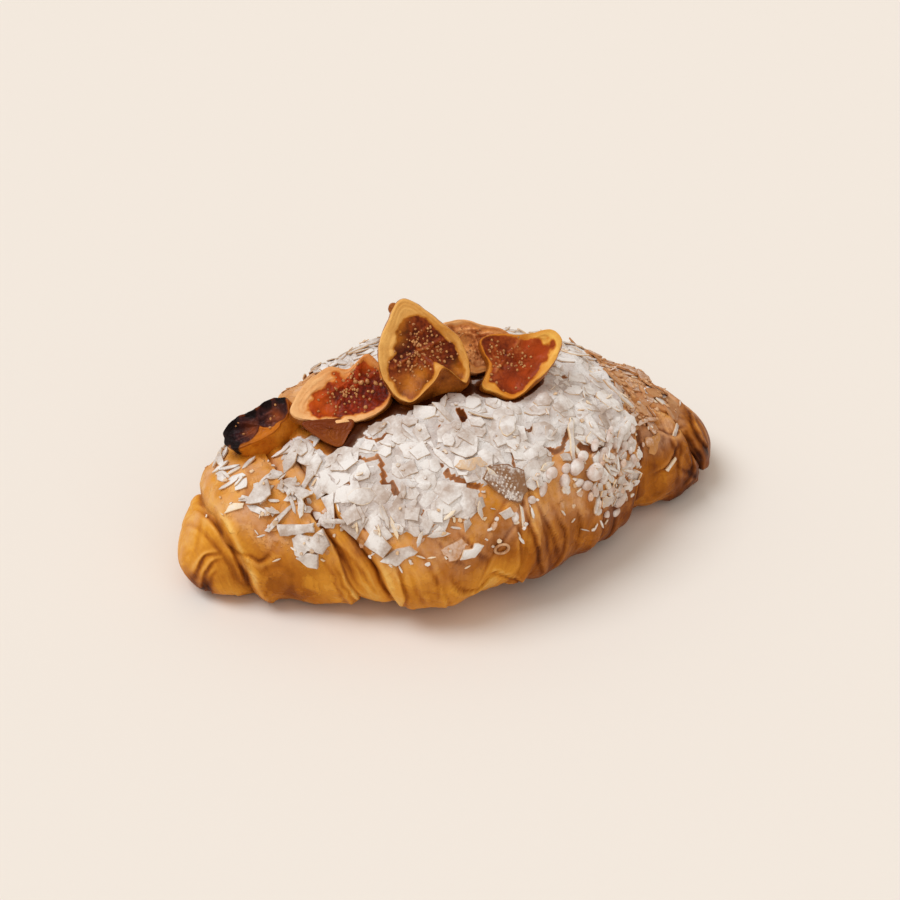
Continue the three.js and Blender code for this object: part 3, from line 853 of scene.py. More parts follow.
    def fold_relief(self, x: Array, angle: Array) -> tuple[Array, Array]:
        """Relief in millimetres, and the browning and painted shade that the folds give."""
        relief, shade = np.zeros_like(x), np.zeros_like(x)
        degrees = np.degrees(angle)
        for fold in self.all_folds:
            corners = np.array(fold.path)
            margin = 2.6 * fold.reach + 1
            low, high = corners.min(0) - [margin, 2.2 * margin], corners.max(0) + [margin, 2.2 * margin]
            near = (x > low[0]) & (x < high[0]) & (degrees > low[1]) & (degrees < high[1])
            if not near.any():
                continue
            flat = self.unrolled(x[near], degrees[near])
            line = rounded(fold.path)
            signed, place = beside_path(flat, self.unrolled(line[:, 0], line[:, 1]))
            waver = np.where(x[near] < -71, 0.12, 0.35) * bumps(flat, 2.6, 45)
            signed = signed * np.sign(fold.rise) + waver
            fade = np.sin(math.pi * np.clip(place, 0, 1)) ** 0.6
            raised = smoothstep(signed, -0.35, 0.35) * np.exp(-np.maximum(signed, 0) / fold.reach)
            groove = bell(signed + 0.6, 0.6)
            lip = bell(signed - 0.6, 0.7)
            relief[near] += fade * abs(fold.rise) * (raised - 0.3 * groove)
            # Painted shade: the groove is darkened over its browning, and the raised lip is painted paler as a
            # highlight.
            shade[near] += fade * fold.shade * (groove - 0.55 * lip)
        return relief, shade

    def from_layer(self, x: Array, angle: Array) -> Array:
        """Distance in millimetres from the edge of the pale nub's first layer, which its strata follow."""
        line = rounded(self.folds[0].path)
        signed, _ = beside_path(self.unrolled(x, np.degrees(angle)), self.unrolled(line[:, 0], line[:, 1]))
        return signed

    def crust(self, k: Array, v: Array, x: Array, angle: Array, width: Array) -> dict[str, Array]:
        """Relief and paint of the crust.

        Args:
            k: The band of each point.
            v: The share of the way across that band.
            x: Places along the body.
            angle: Places round the section.
            width: How wide the band is there.

        Returns:
            Relief in millimetres, toast, haze and strata from 0 to 1, and the layers' coordinates.
        """
        plain = self.shell(x, angle, np.zeros_like(x))
        start, end, swell, drop = (self.of_band(name, k) for name in ("start", "end", "swell", "drop"))
        across = np.minimum(1, ((v * self.of_band("ledges", k)) % 1) / self.ledge_fill)
        relief = start + (end - start) * smoothstep(v, 0, 1) + swell * 4 * v * (1 - v)
        relief += drop * (0.5 - across)
        low_end = smoothstep(-np.degrees(angle), -14, 12) * smoothstep(np.degrees(angle), -150, -120)
        relief += low_end * (k == LAST_WRAP) * -1.9 * smoothstep(v, 0.55, 1)
        relief += low_end * (k == TIP) * 0.8 * (1 - v)
        relief += self.crag_height * (
            np.sin(0.23 * x + 2 * angle + 0.6)
            + 0.7 * np.sin(0.41 * x - 3 * angle + 2.1)
            + 0.5 * np.sin(0.67 * x + 5 * angle + 4.4)
        )
        # Distances from the band's edges, and whether the neighbour beyond stands lower.
        left, right = v * width, (1 - v) * width
        steps = [after.start - before.end for before, after in zip(self.bands, self.bands[1:])]
        step_left, step_right = np.array([0] + steps)[k], np.array([-s for s in steps] + [0])[k]
        lip, crease = np.zeros_like(x), np.zeros_like(x)
        for distance, step in ((left, step_left), (right, step_right)):
            lip += np.clip(step, 0, 2) * bell(distance, 1.1)
            crease += np.clip(-step, 0, 1.6) * np.exp(-distance / 0.9)
        relief += -0.34 * lip + 0.6 * bell(left - 2.2, 1.4) * (step_left > 0)
        relief += 0.6 * bell(right - 2.2, 1.4) * (step_right > 0) - 0.9 * crease
        # Layers and soft folds that run with the seams.
        from_x = np.concatenate([[self.left_tip], self.at])[k]
        to_x = np.concatenate([self.at, [self.right_tip]])[k]
        s = from_x + (to_x - from_x) * v
        w = angle * 45.0
        high = self.folded(angle)
        low = 1 - smoothstep(high, 15, 55)
        flow = rows(s, w * 0.1)
        phase = s / 2.9 + 1.5 * bumps(flow, 4.0, 3) + 0.5 * k
        tooth = phase % 1
        tooth = np.minimum(tooth / 0.85, (1 - tooth) / 0.15)
        layers, folds, blisters = (self.of_band(name, k) for name in ("layers", "folds", "blisters"))
        layers *= 0.55 + 0.45 * low
        relief += layers * (tooth - 0.5) * 0.8
        folds *= 0.35 + 0.65 * low
        broad = bumps(rows(s, w * 0.2), 6.5, 5)
        ridge = 1 - 2 * np.abs(bumps(rows(s + 0.1 * w, w * 0.16), 7.5, 8))
        relief += folds * (0.75 * broad + 0.55 * ridge + 0.35 * bumps(rows(s, w * 0.2), 2.6, 6))
        blisters *= 1 - 0.7 * low * (blisters < 0.57)
        blister = crags(plain, 6.0, 21)
        relief += blisters * (0.85 * np.maximum(blister, -0.25) + 0.22 * crags(plain, 1.7, 31, 2))
        lifted, shade = self.fold_relief(x, angle)
        relief += lifted
        veil = smoothstep(self.above_line(self.haze_line, x, angle) + 4 * crags(plain, 9, 61), -5, 14)
        toast = self.of_band("toast", k) + 0.1 * blister * blisters
        toast -= 0.1 * low * (k > STRETCHED) * (k < LAST_WRAP)
        toast += 0.06 * folds * (broad + ridge - 0.3) + shade
        # Painted shade: creases at the seams are browner, partly burnt edges and partly shade; raised lips are
        # painted paler as a highlight.
        toast += -0.1 * np.clip(lip, 0, 1) + 0.3 * np.clip(crease, 0, 1) + layers * 0.16 * (0.5 - tooth)
        # Painted shade: the low part of the last wrap is browned toward the right end, where the light falls
        # off.
        toast += 0.16 * low * smoothstep(x, 56, 76) * (k == LAST_WRAP)
        for spot_x, degrees, radius, strength in self.brown_spots:
            middle = self.shell(np.array([spot_x]), np.radians([float(degrees)]), np.zeros(1))
            away = norms(plain - middle)
            toast += strength * bell(away, radius)
        strata = 1.0 * (k == NUB) + 0.9 * (k == STRETCHED) + 0.35 * low * (k > STRETCHED) + 0.5 * (k == TIP)
        s = np.where(k == NUB, self.from_layer(x, angle), s)
        # Painted shade: the low parts are browned, most at the tip and low on the right-hand wrap, where the
        # light falls off.
        toast += (0.05 + 0.04 * (k == LAST_WRAP) + 0.14 * (k == TIP) + 0.06 * (k == LEFT_WRAP)) * low
        toast += 0.32 * (1 - smoothstep(high, -8, 26)) * smoothstep(x, -8, 8) * (k == RIGHT_WRAP)
        veil *= 0.25 + 0.75 * smoothstep(high, -8, 22)
        # The veil thins in creases and fold grooves, which paints them darker as shade.
        veil = veil * (0.75 + 0.45 * crags(plain, 5, 71)) * (1 - 0.7 * np.clip(crease, 0, 1)) - 1.2 * shade
        return {
            "relief": relief, "toast": toast, "haze": np.clip(veil, 0, 1), "strata": np.clip(strata, 0, 1),
            "wrap": rows(s, w, np.zeros_like(s)),
        }

    def at_place(self, x: Array, angle: Array) -> Array:
        """Points of the finished crust at places along and round the body."""
        k = np.zeros(len(x), int)
        for n in range(len(self.seams)):
            k += x > self.seam_x(np.full(len(x), n), angle)
        start, end = self.seam_x(k - 1, angle), self.seam_x(k, angle)
        width = end - start
        relief = self.crust(k, (x - start) / width, x, angle, width)["relief"]
        return self.shell(x, angle, relief)

    def grid(self, obj: Mesh) -> tuple[Array, Array, Array, Array, Array]:
        """Where each vertex of a ball goes: its band, share across, x, angle and the band's width."""
        unit = read_points(obj)
        counts = [band.columns for band in self.bands]
        rings = sum(counts) + 1
        ring = np.rint((1 - np.arccos(np.clip(unit[:, 2], -1, 1)) / math.pi) * rings).astype(int)
        turn = (np.arctan2(-unit[:, 0], -unit[:, 1]) + math.pi / 2) / (2 * math.pi) % 1
        turn = np.rint(turn * self.segments) / self.segments
        # Points lie closer together on the sides and the top than underneath.
        degrees = -90 + 360 * turn + 30 * np.sin(2 * math.pi * turn) + 8 * np.sin(4 * math.pi * turn)
        angle = np.radians(degrees)
        first = np.cumsum([0] + counts)
        column = np.clip(ring - 1, 0, rings - 2)
        k = np.searchsorted(first, column, side="right") - 1
        place = column - first[k]
        count = np.array(counts)[k]
        v = place / (count - 1)
        v = v - 0.6 * np.sin(2 * math.pi * v) / (2 * math.pi)
        v = np.where(k == NUB, ((place + 1) / count) ** self.tip_crowding, v)
        v = np.where(k == TIP, 1 - ((count - place) / count) ** self.tip_crowding, v)
        start = self.seam_x(k - 1, angle) + np.where(k == NUB, 0, self.seam_run)
        end = self.seam_x(k, angle) - np.where(k == TIP, 0, self.seam_run)
        x = start + (end - start) * v
        x = np.where(ring == 0, self.left_tip, np.where(ring == rings, self.right_tip, x))
        v = np.where(ring == 0, 0, np.where(ring == rings, 1, v))
        return k, v, x, angle, end - start

    def build(self, pile: "Pile") -> Mesh:
        """The crust: a ball whose rings are laid along the wraps, with the powder that fills the pile."""
        obj = ball(self.segments, sum(band.columns for band in self.bands) + 1)
        k, v, x, angle, width = self.grid(obj)
        crust = self.crust(k, v, x, angle, width)
        powder = pile.sample(pile.powder(), x, angle)
        reach = pile.syrup_shadow_reach(x)
        bare = 1 - smoothstep(pile.sample(pile.clear, x, angle), 0.4 * reach, 1.1 * reach)
        write_points(obj, self.shell(x, angle, crust["relief"] + powder) * MM)
        sugar, gap = smoothstep(self.heavy_sugar(x, angle), -1.5, 1.0), self.gap_depth(x, angle)
        # Next to the figs the crust is bare and painted darker: painted shadow under the figs, with dark syrup
        # on it.
        syrup_and_shadow = bare * smoothstep(x, -46, -38)
        paint(
            obj, sugar=sugar * (1 - bare), haze=crust["haze"] * (1 - bare) * (1 - 0.6 * gap),
            # The crust in the sugar's cracks and hollows is painted browner, as shade.
            toast=np.clip(crust["toast"] + 0.15 * bare + 0.9 * syrup_and_shadow + 0.46 * gap, 0, 1),
            strata=crust["strata"], wrap=crust["wrap"],
        )
        return deliver(obj, "crust", CrustFinish().make(), ["croissant"])


# ---------------------------------------------------------------- fig wedges
@dataclass(frozen=True)
class FigWedge:
    """One roasted wedge; its rim is a closed curve in the cut face's own plane: across, up and lift."""

    node: str
    slot: str
    middle: Point
    looks: Pair
    rim: tuple[Point, ...]
    dish: float
    depth: float
    keel: Pair
    # Width of the flesh at the rim and how pale it is: (degrees round the face, mm or 0 to 1).
    band: Path
    pallor: Path
    finish: FigFinish
    # Points that the skin goes through instead of the rim's points of those numbers, as in the part.
    girdle: tuple[tuple[int, Point], ...] = ()
    membranes: tuple[Path, ...] = ()
    glow: tuple[Spot, ...] = ()
    char: tuple[Spot, ...] = ()
    seeds: tuple[Spot, ...] = ()
    loose_seeds: int = 0
    wrinkle: float = 0.35
    granule: float = 0.5
    ragged: float = 0.45
    stalk: Optional[tuple[Point, float, float]] = None
    seed: int = 1
    segments: int = 192
    rings: int = 92

    # How the surface runs from the middle of the face (0) over the rim to the keel (1).
    RUN = (0, 0.26, 0.44, 0.52, 0.56, 0.6, 0.66, 0.8, 0.92, 1.0)
    SHARE = (0, 0.42, 0.78, 0.93, 0.985, 1.0, 1.02, 0.9, 0.55, 0)
    DISH = (1, 0.95, 0.5, 0.08, 0, 0, 0, 0, 0, 0)
    DEPTH = (0, 0, 0, 0, 0, 0.05, 0.28, 0.6, 0.9, 1.0)
    SHIFT = (0, 0, 0, 0, 0, 0, 0.1, 0.4, 0.8, 1.0)
    BULGE = (0, 0, 0, 0, 0, 0, 1, 1, 1, 1)
    # Where the cut face ends on that way, and how many points the curves have from mark to mark.
    FACE_END = 0.59
    POINTS_PER_MARK = 40

    def axes(self) -> Array:
        """Rows: the face's across, up and out directions."""
        turn, rise = (math.radians(d) for d in self.looks)
        out = np.array([math.sin(turn) * math.cos(rise), -math.cos(turn) * math.cos(rise), math.sin(rise)])
        across = np.cross([0, 0, 1], out)
        across /= np.linalg.norm(across)
        return np.array([across, np.cross(out, across), out])

    def placed(self, local: Array) -> Array:
        """Points of the wedge's own frame in the row frame."""
        return local @ self.axes() + np.array(self.middle)

    def _closed_curve(self, marks: Array) -> Array:
        """A smooth closed curve through marks."""
        curve = []
        for i in range(len(marks)):
            p0, p1, p2, p3 = (marks[(i + n) % len(marks)] for n in (-1, 0, 1, 2))
            pairs = ((p0, p1), (p1, p2), (p2, p3))
            d0, d1, d2 = (max(np.linalg.norm(b - a) ** 0.5, 1e-4) for a, b in pairs)
            t1 = ((p1 - p0) / d0 - (p2 - p0) / (d0 + d1) + (p2 - p1) / d1) * d1
            t2 = ((p2 - p1) / d1 - (p3 - p1) / (d1 + d2) + (p3 - p2) / d2) * d1
            u = np.linspace(0, 1, self.POINTS_PER_MARK, endpoint=False)[:, None]
            a = (1 + 2 * u) * (1 - u) ** 2 * p1 + u * (1 - u) ** 2 * t1
            curve.append(a + u * u * (3 - 2 * u) * p2 - u * u * (1 - u) * t2)
        return np.concatenate(curve)

    def rim_points(self) -> tuple[Array, Array]:
        """Points evenly spaced round the rim and those of the skin."""
        marks = np.array(self.rim, float)
        skin_marks = marks.copy()
        for number, mark in self.girdle:
            skin_marks[number] = mark
        rim, skin = self._closed_curve(marks), self._closed_curve(skin_marks)
        closed = np.concatenate([rim, rim[:1]])
        length = np.concatenate([[0], np.cumsum(np.linalg.norm(np.diff(closed, axis=0), axis=1))])
        even = np.linspace(0, length[-1], self.segments, endpoint=False)
        at = np.interp(even, length, np.arange(len(length)))
        steps = np.arange(len(length))
        curves = (closed, np.concatenate([skin, skin[:1]]))
        rim, skin = (rows(*(np.interp(at, steps, c[:, n]) for n in range(3))) for c in curves)
        # The cut edge is a little ragged.
        arc = np.arange(self.segments) / self.segments * 2 * math.pi
        ring = rows(np.cos(arc), np.sin(arc)) * length[-1] / (2 * math.pi)
        rough = self.ragged * (bumps(ring, 5.0, self.seed + 20) + 0.55 * bumps(ring, 1.9, self.seed + 21))
        outward = rim[:, :2] - rim[:, :2].mean(0)
        outward /= norms(outward)[:, None]
        rim[:, :2] += outward * rough[:, None] * 0.6
        rim[:, 2] += self.ragged * bumps(ring, 4.0, self.seed + 22)
        return rim[::-1], skin[::-1]

    def build(self) -> tuple[Mesh, Array]:
        """The wedge's mesh, painted, and its face's points for placing seeds."""
        obj = ball(self.segments, self.rings)
        unit = read_points(obj)
        run = np.arccos(np.clip(unit[:, 2], -1, 1)) / math.pi
        turn = np.rint(np.arctan2(unit[:, 1], unit[:, 0]) / (2 * math.pi) % 1 * self.segments)
        rim, girdle = self.rim_points()
        middle = rim.mean(0)
        place = turn.astype(int) % self.segments
        columns = (self.SHARE, self.DISH, self.DEPTH, self.SHIFT, self.BULGE)
        share, dish, depth, shift, bulge = (through(self.RUN, column, run)[:, None] for column in columns)
        edge = rim[place] * (1 - bulge) + girdle[place] * bulge
        keel = np.array([*self.keel, 0.0])
        local = (edge - middle) * share + middle + (keel - middle) * shift
        height = edge[:, 2:] * np.minimum(1, share) * (1 - depth) - self.dish * dish - self.depth * depth
        local = np.concatenate([local[:, :2], height], -1)
        share, depth = share[:, 0], depth[:, 0]
        face = run < self.FACE_END
        reach = norms((edge - middle)[:, :2])
        inward = np.where(face, (1 - share) * reach, 0)
        flat = local[:, :2]
        around = np.degrees(np.arctan2(*(edge - middle)[:, 1::-1].T)) % 360
        band = np.interp(around, *np.array(sorted(self.band)).T, period=360)
        pallor = np.interp(around, *np.array(sorted(self.pallor)).T, period=360)
        band = band * (1 + 0.35 * bumps(flat, 3.6, self.seed) + 0.25 * bumps(flat, 1.5, self.seed + 1))
        ripe = smoothstep(inward - band, -1.3, 1.3) * face
        skin = smoothstep(run, 0.585, 0.625)
        membrane = np.zeros(len(run))
        for path in self.membranes:
            away = distance_to_path(flat + 0.5 * bumps(flat, 2.2, 8)[:, None], path)
            membrane = np.maximum(membrane, bell(away, 0.55))
        grains = pebbles(flat + 0.4 * bumps(flat, 2.0, 4)[:, None], 1.35, self.seed)
        small = pebbles(flat, 0.85, self.seed + 9)
        swell = bumps(flat, 4.2, self.seed + 3)
        glow = self._spots(flat + 0.8 * bumps(flat, 2.5, 6)[:, None], self.glow) * face
        lift = self.granule * (0.65 * grains + 0.35 * small) * (1 - 0.8 * glow)
        lift = ripe * (lift + 0.55 * swell + 0.5 * membrane - 0.45)
        # Fine ridges in the flesh run along the rim.
        strata = bumps(rows(inward * 1.7, around / 30), 1.0, self.seed + 14)
        hump = np.sin(math.pi * np.clip(inward / (band + 0.3), 0, 1))
        lift += face * (1 - ripe) * (0.16 * strata + 0.14 * hump)
        local[:, 2] += lift
        # Wrinkles run from the rim down to the keel.
        arc = turn / self.segments * 2 * math.pi
        ring = rows(np.cos(arc) * 14, np.sin(arc) * 14, depth * 5)
        wrinkles = self.wrinkle * (bumps(ring, 3.1, self.seed + 5) + 0.5 * bumps(ring, 1.4, self.seed + 6))
        heart = np.array([middle[0], middle[1], -self.depth / 2])
        away = local - heart
        away /= norms(away)[:, None]
        local += away * ((wrinkles * skin * (1 - depth) + 0.45 * bumps(local, 8, self.seed + 7))[:, None])
        char = self._spots(flat, self.char)
        write_points(obj, self.placed(local) * MM)
        # relief paints the raised pulp lighter, a painted highlight.
        relief = np.clip(0.16 + 0.3 * swell + 0.42 * grains * small + 0.22 * membrane, 0, 1)
        paint(obj, ripe=ripe, skin=skin, pallor=pallor + 0.25 * strata, relief=relief, glow=glow, char=char)
        if self.stalk:
            obj = joined([obj, self.stalk_stub()])
        deliver(obj, self.node + "_roasted", self.finish.make(), [self.node])
        return obj, local[ripe > 0.7]

    @staticmethod
    def _spots(flat: Array, spots: Iterable[Spot]) -> Array:
        """Strength from 0 to 1 of round spots on the face."""
        total = np.zeros(len(flat))
        for across, up, radius in spots:
            away = np.hypot(flat[:, 0] - across, flat[:, 1] - up)
            total = np.maximum(total, bell(away, radius))
        return total

    def stalk_stub(self) -> Mesh:
        """The short stub of stalk at the wedge's tip."""
        at, length, radius = self.stalk
        stub = ball(20, 14)
        unit = read_points(stub)
        local = unit * np.array([radius, length / 2, radius]) * (1 + 0.12 * bumps(unit, 0.5, 3)[:, None])
        write_points(stub, self.placed(local + np.array(at)) * MM)
        one = np.ones(len(unit))
        paint(stub, ripe=0 * one, skin=one, pallor=0 * one, relief=0.3 * one, glow=0 * one, char=0.42 * one)
        return stub

    def seed_places(self, face: Array, rng: Random) -> list[tuple[Array, float]]:
        """Middles in the row frame and radii of the seeds that lie on the pulp.

        Args:
            face: Points of the pulp in the wedge's own frame.
            rng: Source of the loose seeds' places.

        Returns:
            A (middle, radius) pair for each seed.
        """
        wanted = list(self.seeds)
        paths = self.membranes or (((0.0, 0.0), (1.0, 0.0)),)
        for _ in range(self.loose_seeds):
            if rng.uniform() < 0.6:
                path = rounded(paths[rng.integers(len(paths))])
                spot = path[rng.integers(len(path))] + rng.normal(0, 1.5, 2)
            else:
                spot = face[rng.integers(len(face)), :2]
            wanted.append((spot[0], spot[1], rng.uniform(0.24, 0.46)))
        places = []
        for across, up, radius in wanted:
            away = np.hypot(face[:, 0] - across, face[:, 1] - up)
            if away.min() > 0.8:
                continue
            local = np.array([across, up, face[np.argmin(away)][2] + 0.05 * radius])
            places.append((self.placed(local[None])[0], radius))
        return places


FIGS = (
    FigWedge(
        "fig_top", "fig_flesh", middle=(-12.5, -5.3, 67.8), looks=(-16, 26),
        rim=(
            (-5.4, 15.2, 0), (4.5, 8.6, 0), (11.2, 2.6, 0), (13.2, -5, 0), (11.8, -9.6, 1), (5.3, -4.6, 4.5),
            (0.4, -10.2, 4), (-5, -14.1, 2.2), (-10.6, -10, 0.3), (-12.8, 0.8, 0), (-10, 8.6, 0),
        ),
        dish=1.4, depth=15.5, keel=(0.5, -5.5),
        band=(
            (0, 2.6), (45, 2.4), (75, 2.6), (110, 4.6), (150, 5), (185, 4), (215, 2), (240, 0.9), (300, 1.3),
            (330, 2.2),
        ),
        pallor=(
            (0, 0.4), (60, 0.4), (95, 0.65), (150, 0.95), (200, 0.85), (250, 0.6), (290, 0.5), (330, 0.45),
        ),
        finish=FigFinish(
            "fig_top_flesh", pale=(0.84, 0.45, 0.125), amber=(0.54, 0.19, 0.02),
            pulp=(
                (0, (0.03, 0.004, 0.001)), (0.35, (0.105, 0.012, 0.002)), (0.65, (0.23, 0.036, 0.005)),
                (1, (0.44, 0.13, 0.025)),
            ),
            glow=(0.46, 0.14, 0.01), skin=(0.5, 0.15, 0.02), skin_shade=(0.13, 0.026, 0.003),
        ),
        girdle=((4, (12.4, -10.4, -1)), (5, (7.6, -13.2, -2)), (6, (1.2, -15.2, -2)), (7, (-4.8, -15.4, -1))),
        membranes=(
            ((-2.3, 7.8), (-3.4, 3.5), (-1.6, 0), (2.6, 1.7), (7, 3.4)),
            ((-1.6, 0), (-7.5, -3.7), (-10.5, -4.6)), ((-1.6, 0), (-2.9, -4)), ((-3.4, 3.5), (1.5, 6.5)),
        ),
        glow=((-4.3, -9.6, 3.6), (-1.5, -6.5, 2.2), (10.4, -6, 2.4), (-6.5, 8.5, 2.6), (-8.2, 4, 2.4)),
        seeds=(
            (-4.3, -3, 0.75), (2.7, -0.3, 0.5), (4.1, -2.1, 0.5), (5.1, 0.1, 0.5), (6.8, -0.6, 0.5),
            (0.3, -3, 0.5), (-0.9, 1.9, 0.45), (-6.2, -1.2, 0.5), (-8.2, 0.4, 0.42), (8.1, -2.1, 0.5),
            (6, -3.4, 0.5), (1.6, -4.9, 0.45), (-3.3, -5.7, 0.45), (-5.5, 2.2, 0.42),
        ),
        loose_seeds=120, stalk=((-7.6, 12.6, -3.2), 3.4, 1.5), seed=3,
    ),
    FigWedge(
        "fig_left", "fig_flesh", middle=(-36.3, 0.5, 56.4), looks=(-20, 50),
        rim=(
            (-14.6, -5.8, 0), (-11.2, 0.9, 0), (-3.6, 7.8, 0.2), (2.6, 7.6, -1.6), (8.6, 12, 0), (13, 7, -1),
            (14.8, 0.6, -1.4), (12.4, -5, -0.5), (4.6, -8.6, 0), (-5.1, -9, 0),
        ),
        dish=0.9, depth=13.5, keel=(2, -1.5),
        band=(
            (0, 0.3), (40, 2.4), (70, 3), (100, 2), (130, 3.4), (165, 5.4), (195, 5.6), (225, 1.9),
            (270, 1.5), (315, 2.6),
        ),
        pallor=(
            (0, 0.1), (50, 0.2), (80, 0.25), (110, 0.6), (170, 0.85), (200, 0.75), (230, 0.9), (300, 0.85),
            (335, 0.7),
        ),
        finish=FigFinish("fig_left_flesh", pale=(0.86, 0.47, 0.2), amber=(0.66, 0.21, 0.035)),
        membranes=(
            ((-2.2, -6.7), (1.4, -0.2), (3.6, 5.8), (2.8, 8.2)), ((1.4, -0.2), (6.4, 3.3), (10.2, 5.9)),
            ((-5.2, -1.5), (0, 1.9), (3, 4)),
        ),
        glow=((-6.3, -1.8, 3.6), (-3.6, -4.6, 2.8), (-1, 4, 2.2), (9.5, 8.5, 2.6)),
        seeds=(
            (4.7, 3.4, 0.72), (6.4, 3.1, 0.8), (8.1, 3.6, 0.8), (10.6, 3, 0.72), (12, 2.6, 0.6),
            (6.9, -1, 0.5), (5.1, 0.9, 0.5), (9.5, 0.5, 0.55), (7.4, -4.3, 0.65), (3.4, -1.2, 0.45),
            (1.4, -3.2, 0.45), (8.6, -1.9, 0.5),
        ),
        loose_seeds=100, seed=7,
    ),
    FigWedge(
        "fig_right", "fig_flesh", middle=(16.1, -10.5, 60.3), looks=(-8, 44),
        rim=(
            (-10.4, 8, -1), (-3, 8.7, 0.5), (4.6, 8, 0), (10.8, 8, 0.3), (13.4, 4.6, 0), (10.6, -0.4, 0),
            (3.4, -6.6, 0), (-4.8, -10.4, 0), (-10.4, -7.4, 0), (-12.8, -5.4, -1.4), (-9.6, 0.8, -2.2),
        ),
        dish=1.2, depth=13.0, keel=(1, -1),
        band=(
            (0, 3), (25, 4.6), (50, 1.8), (90, 0.5), (130, 0.4), (170, 0.4), (215, 2.8), (250, 1), (300, 1),
            (330, 1.8),
        ),
        pallor=(
            (0, 0.65), (25, 0.85), (55, 0.5), (100, 0.1), (180, 0.1), (215, 0.6), (250, 0.2), (310, 0.35),
        ),
        finish=FigFinish(
            "fig_right_flesh", pale=(0.86, 0.47, 0.095), amber=(0.62, 0.2, 0.018),
            pulp=(
                (0, (0.085, 0.01, 0.003)), (0.35, (0.2, 0.028, 0.005)), (0.65, (0.34, 0.06, 0.01)),
                (1, (0.54, 0.18, 0.05)),
            ),
            glow=(0.38, 0.048, 0.004), skin=(0.55, 0.175, 0.018), skin_shade=(0.22, 0.045, 0.004),
        ),
        membranes=(
            ((-7.8, -1.5), (-3.4, 2.9), (1, 6.8)), ((-6.1, 1.2), (-9, 5.2)), ((-2.2, 2.8), (1.6, -2.9)),
            ((-4.5, 1.5), (-7.5, 6.5)),
        ),
        glow=((6, 2.5, 4.6), (1.6, -2, 4), (-3, -5.6, 3.4), (3, 5.5, 2.6)),
        seeds=((-10.4, -2.8, 0.6), (-9.6, -3.6, 0.5), (-8.2, -4.8, 0.5), (-10.9, -1.4, 0.5), (-9, -2, 0.45)),
        loose_seeds=60, wrinkle=0.25, granule=0.45, seed=12,
    ),
    FigWedge(
        "fig_back", "fig_flesh", middle=(7.7, 0.9, 64.2), looks=(12, 40),
        rim=(
            (-10.4, 6.4, 0), (-3.6, 6.4, 0.4), (2.4, 3, 0.3), (8.4, -0.6, 0), (11.8, -6, -1),
            (4.4, -9.4, -2.4), (-4.4, -9, -3), (-10.6, -3, -2),
        ),
        dish=1.4, depth=14.0, keel=(0.5, -4), band=((0, 2), (90, 1.4), (180, 4), (270, 1.4)),
        pallor=((0, 0.3), (90, 0.5), (180, 0.6), (270, 0.3)),
        # Painted light: this wedge's colours are paler than the others' to stand in for light, as it lies in
        # the top wedge's shade.
        finish=FigFinish(
            "fig_back_flesh_painted_light", pale=(0.88, 0.5, 0.22), amber=(0.8, 0.32, 0.08),
            pulp=(
                (0, (0.24, 0.055, 0.015)), (0.4, (0.56, 0.18, 0.055)), (0.7, (0.88, 0.4, 0.15)),
                (1, (0.95, 0.6, 0.33)),
            ),
            glow=(0.88, 0.38, 0.09), skin=(0.66, 0.25, 0.07),
        ),
        membranes=(((-6, 4), (-1, 1), (5, 1)), ((-1, 1), (0, -5)), ((-8, 1), (-3, 3.5), (2, 2.4))),
        glow=((-7.5, -1, 4),), loose_seeds=18, wrinkle=0.5, granule=0.7, seed=17,
    ),
    FigWedge(
        "fig_charred", "fig_char", middle=(-57.8, 8, 47.7), looks=(-50, 52),
        rim=(
            (-9.8, -6.2, 0.4), (-7.2, -1.4, 0.6), (-0.6, 5.4, 0.6), (5.4, 8.2, 0.4), (7.8, 5.4, -0.4),
            (5.4, 0.8, -0.6), (1.6, -5, -0.2), (-3.4, -9.8, 0.2), (-7.4, -9.2, 0.3),
        ),
        dish=1.4, depth=10.5, keel=(4, -4.5),
        band=((0, 2.8), (40, 0.8), (70, 0.5), (180, 0.5), (235, 0.8), (270, 2.4), (300, 4.2), (330, 4)),
        pallor=((0, 1), (60, 0.4), (180, -0.4), (240, 0.4), (300, 1)),
        finish=FigFinish(
            "fig_charred_flesh", pale=(0.52, 0.145, 0.01), amber=(0.15, 0.028, 0.004),
            pulp=(
                (0, (0.014, 0.005, 0.007)), (0.4, (0.048, 0.014, 0.014)), (0.75, (0.15, 0.045, 0.03)),
                (1, (0.2, 0.075, 0.035)),
            ),
            glow=(0.24, 0.05, 0.012), skin=(0.74, 0.27, 0.022), skin_shade=(0.44, 0.1, 0.006),
        ),
        membranes=(((-6.8, -3.4), (-1.2, 0.7), (3, 5.1)), ((-4.5, -7), (-1.2, -3), (2.5, 1.5))),
        glow=((3.5, 3, 2.2), (-2.2, -3, 2)),
        char=(
            (-9.5, -5.5, 2.6), (-8.5, -2.5, 2.8), (-5, 2, 3), (-1, 5.8, 2.8), (3.5, 8.2, 2.6), (-8, -9, 3),
            (-4.6, -9.4, 2),
        ),
        loose_seeds=8, granule=1.0, ragged=1.5, seed=23,
    ),
    FigWedge(
        "fig_under", "fig_skin", middle=(-41.8, -7.4, 49.2), looks=(-22, 44),
        rim=(
            (-8.4, 2.6, -0.4), (-1, 3.8, -0.6), (6.4, 3.4, -0.6), (4.6, -1, 0), (2.4, -4.4, 0.3),
            (-3.4, -1.8, 0.2),
        ),
        dish=0.3, depth=5.0, keel=(0, 1), band=((0, 9), (180, 9)),
        pallor=((0, 0.2), (90, 0), (180, 0.2), (250, 0.6), (310, 0.6)),
        finish=FigFinish(
            "fig_under_skin", pale=(0.28, 0.068, 0.008), amber=(0.17, 0.03, 0.004),
            skin=(0.17, 0.032, 0.004),
        ),
        wrinkle=0.2, ragged=0.25, seed=29, segments=96, rings=56,
    ),
)


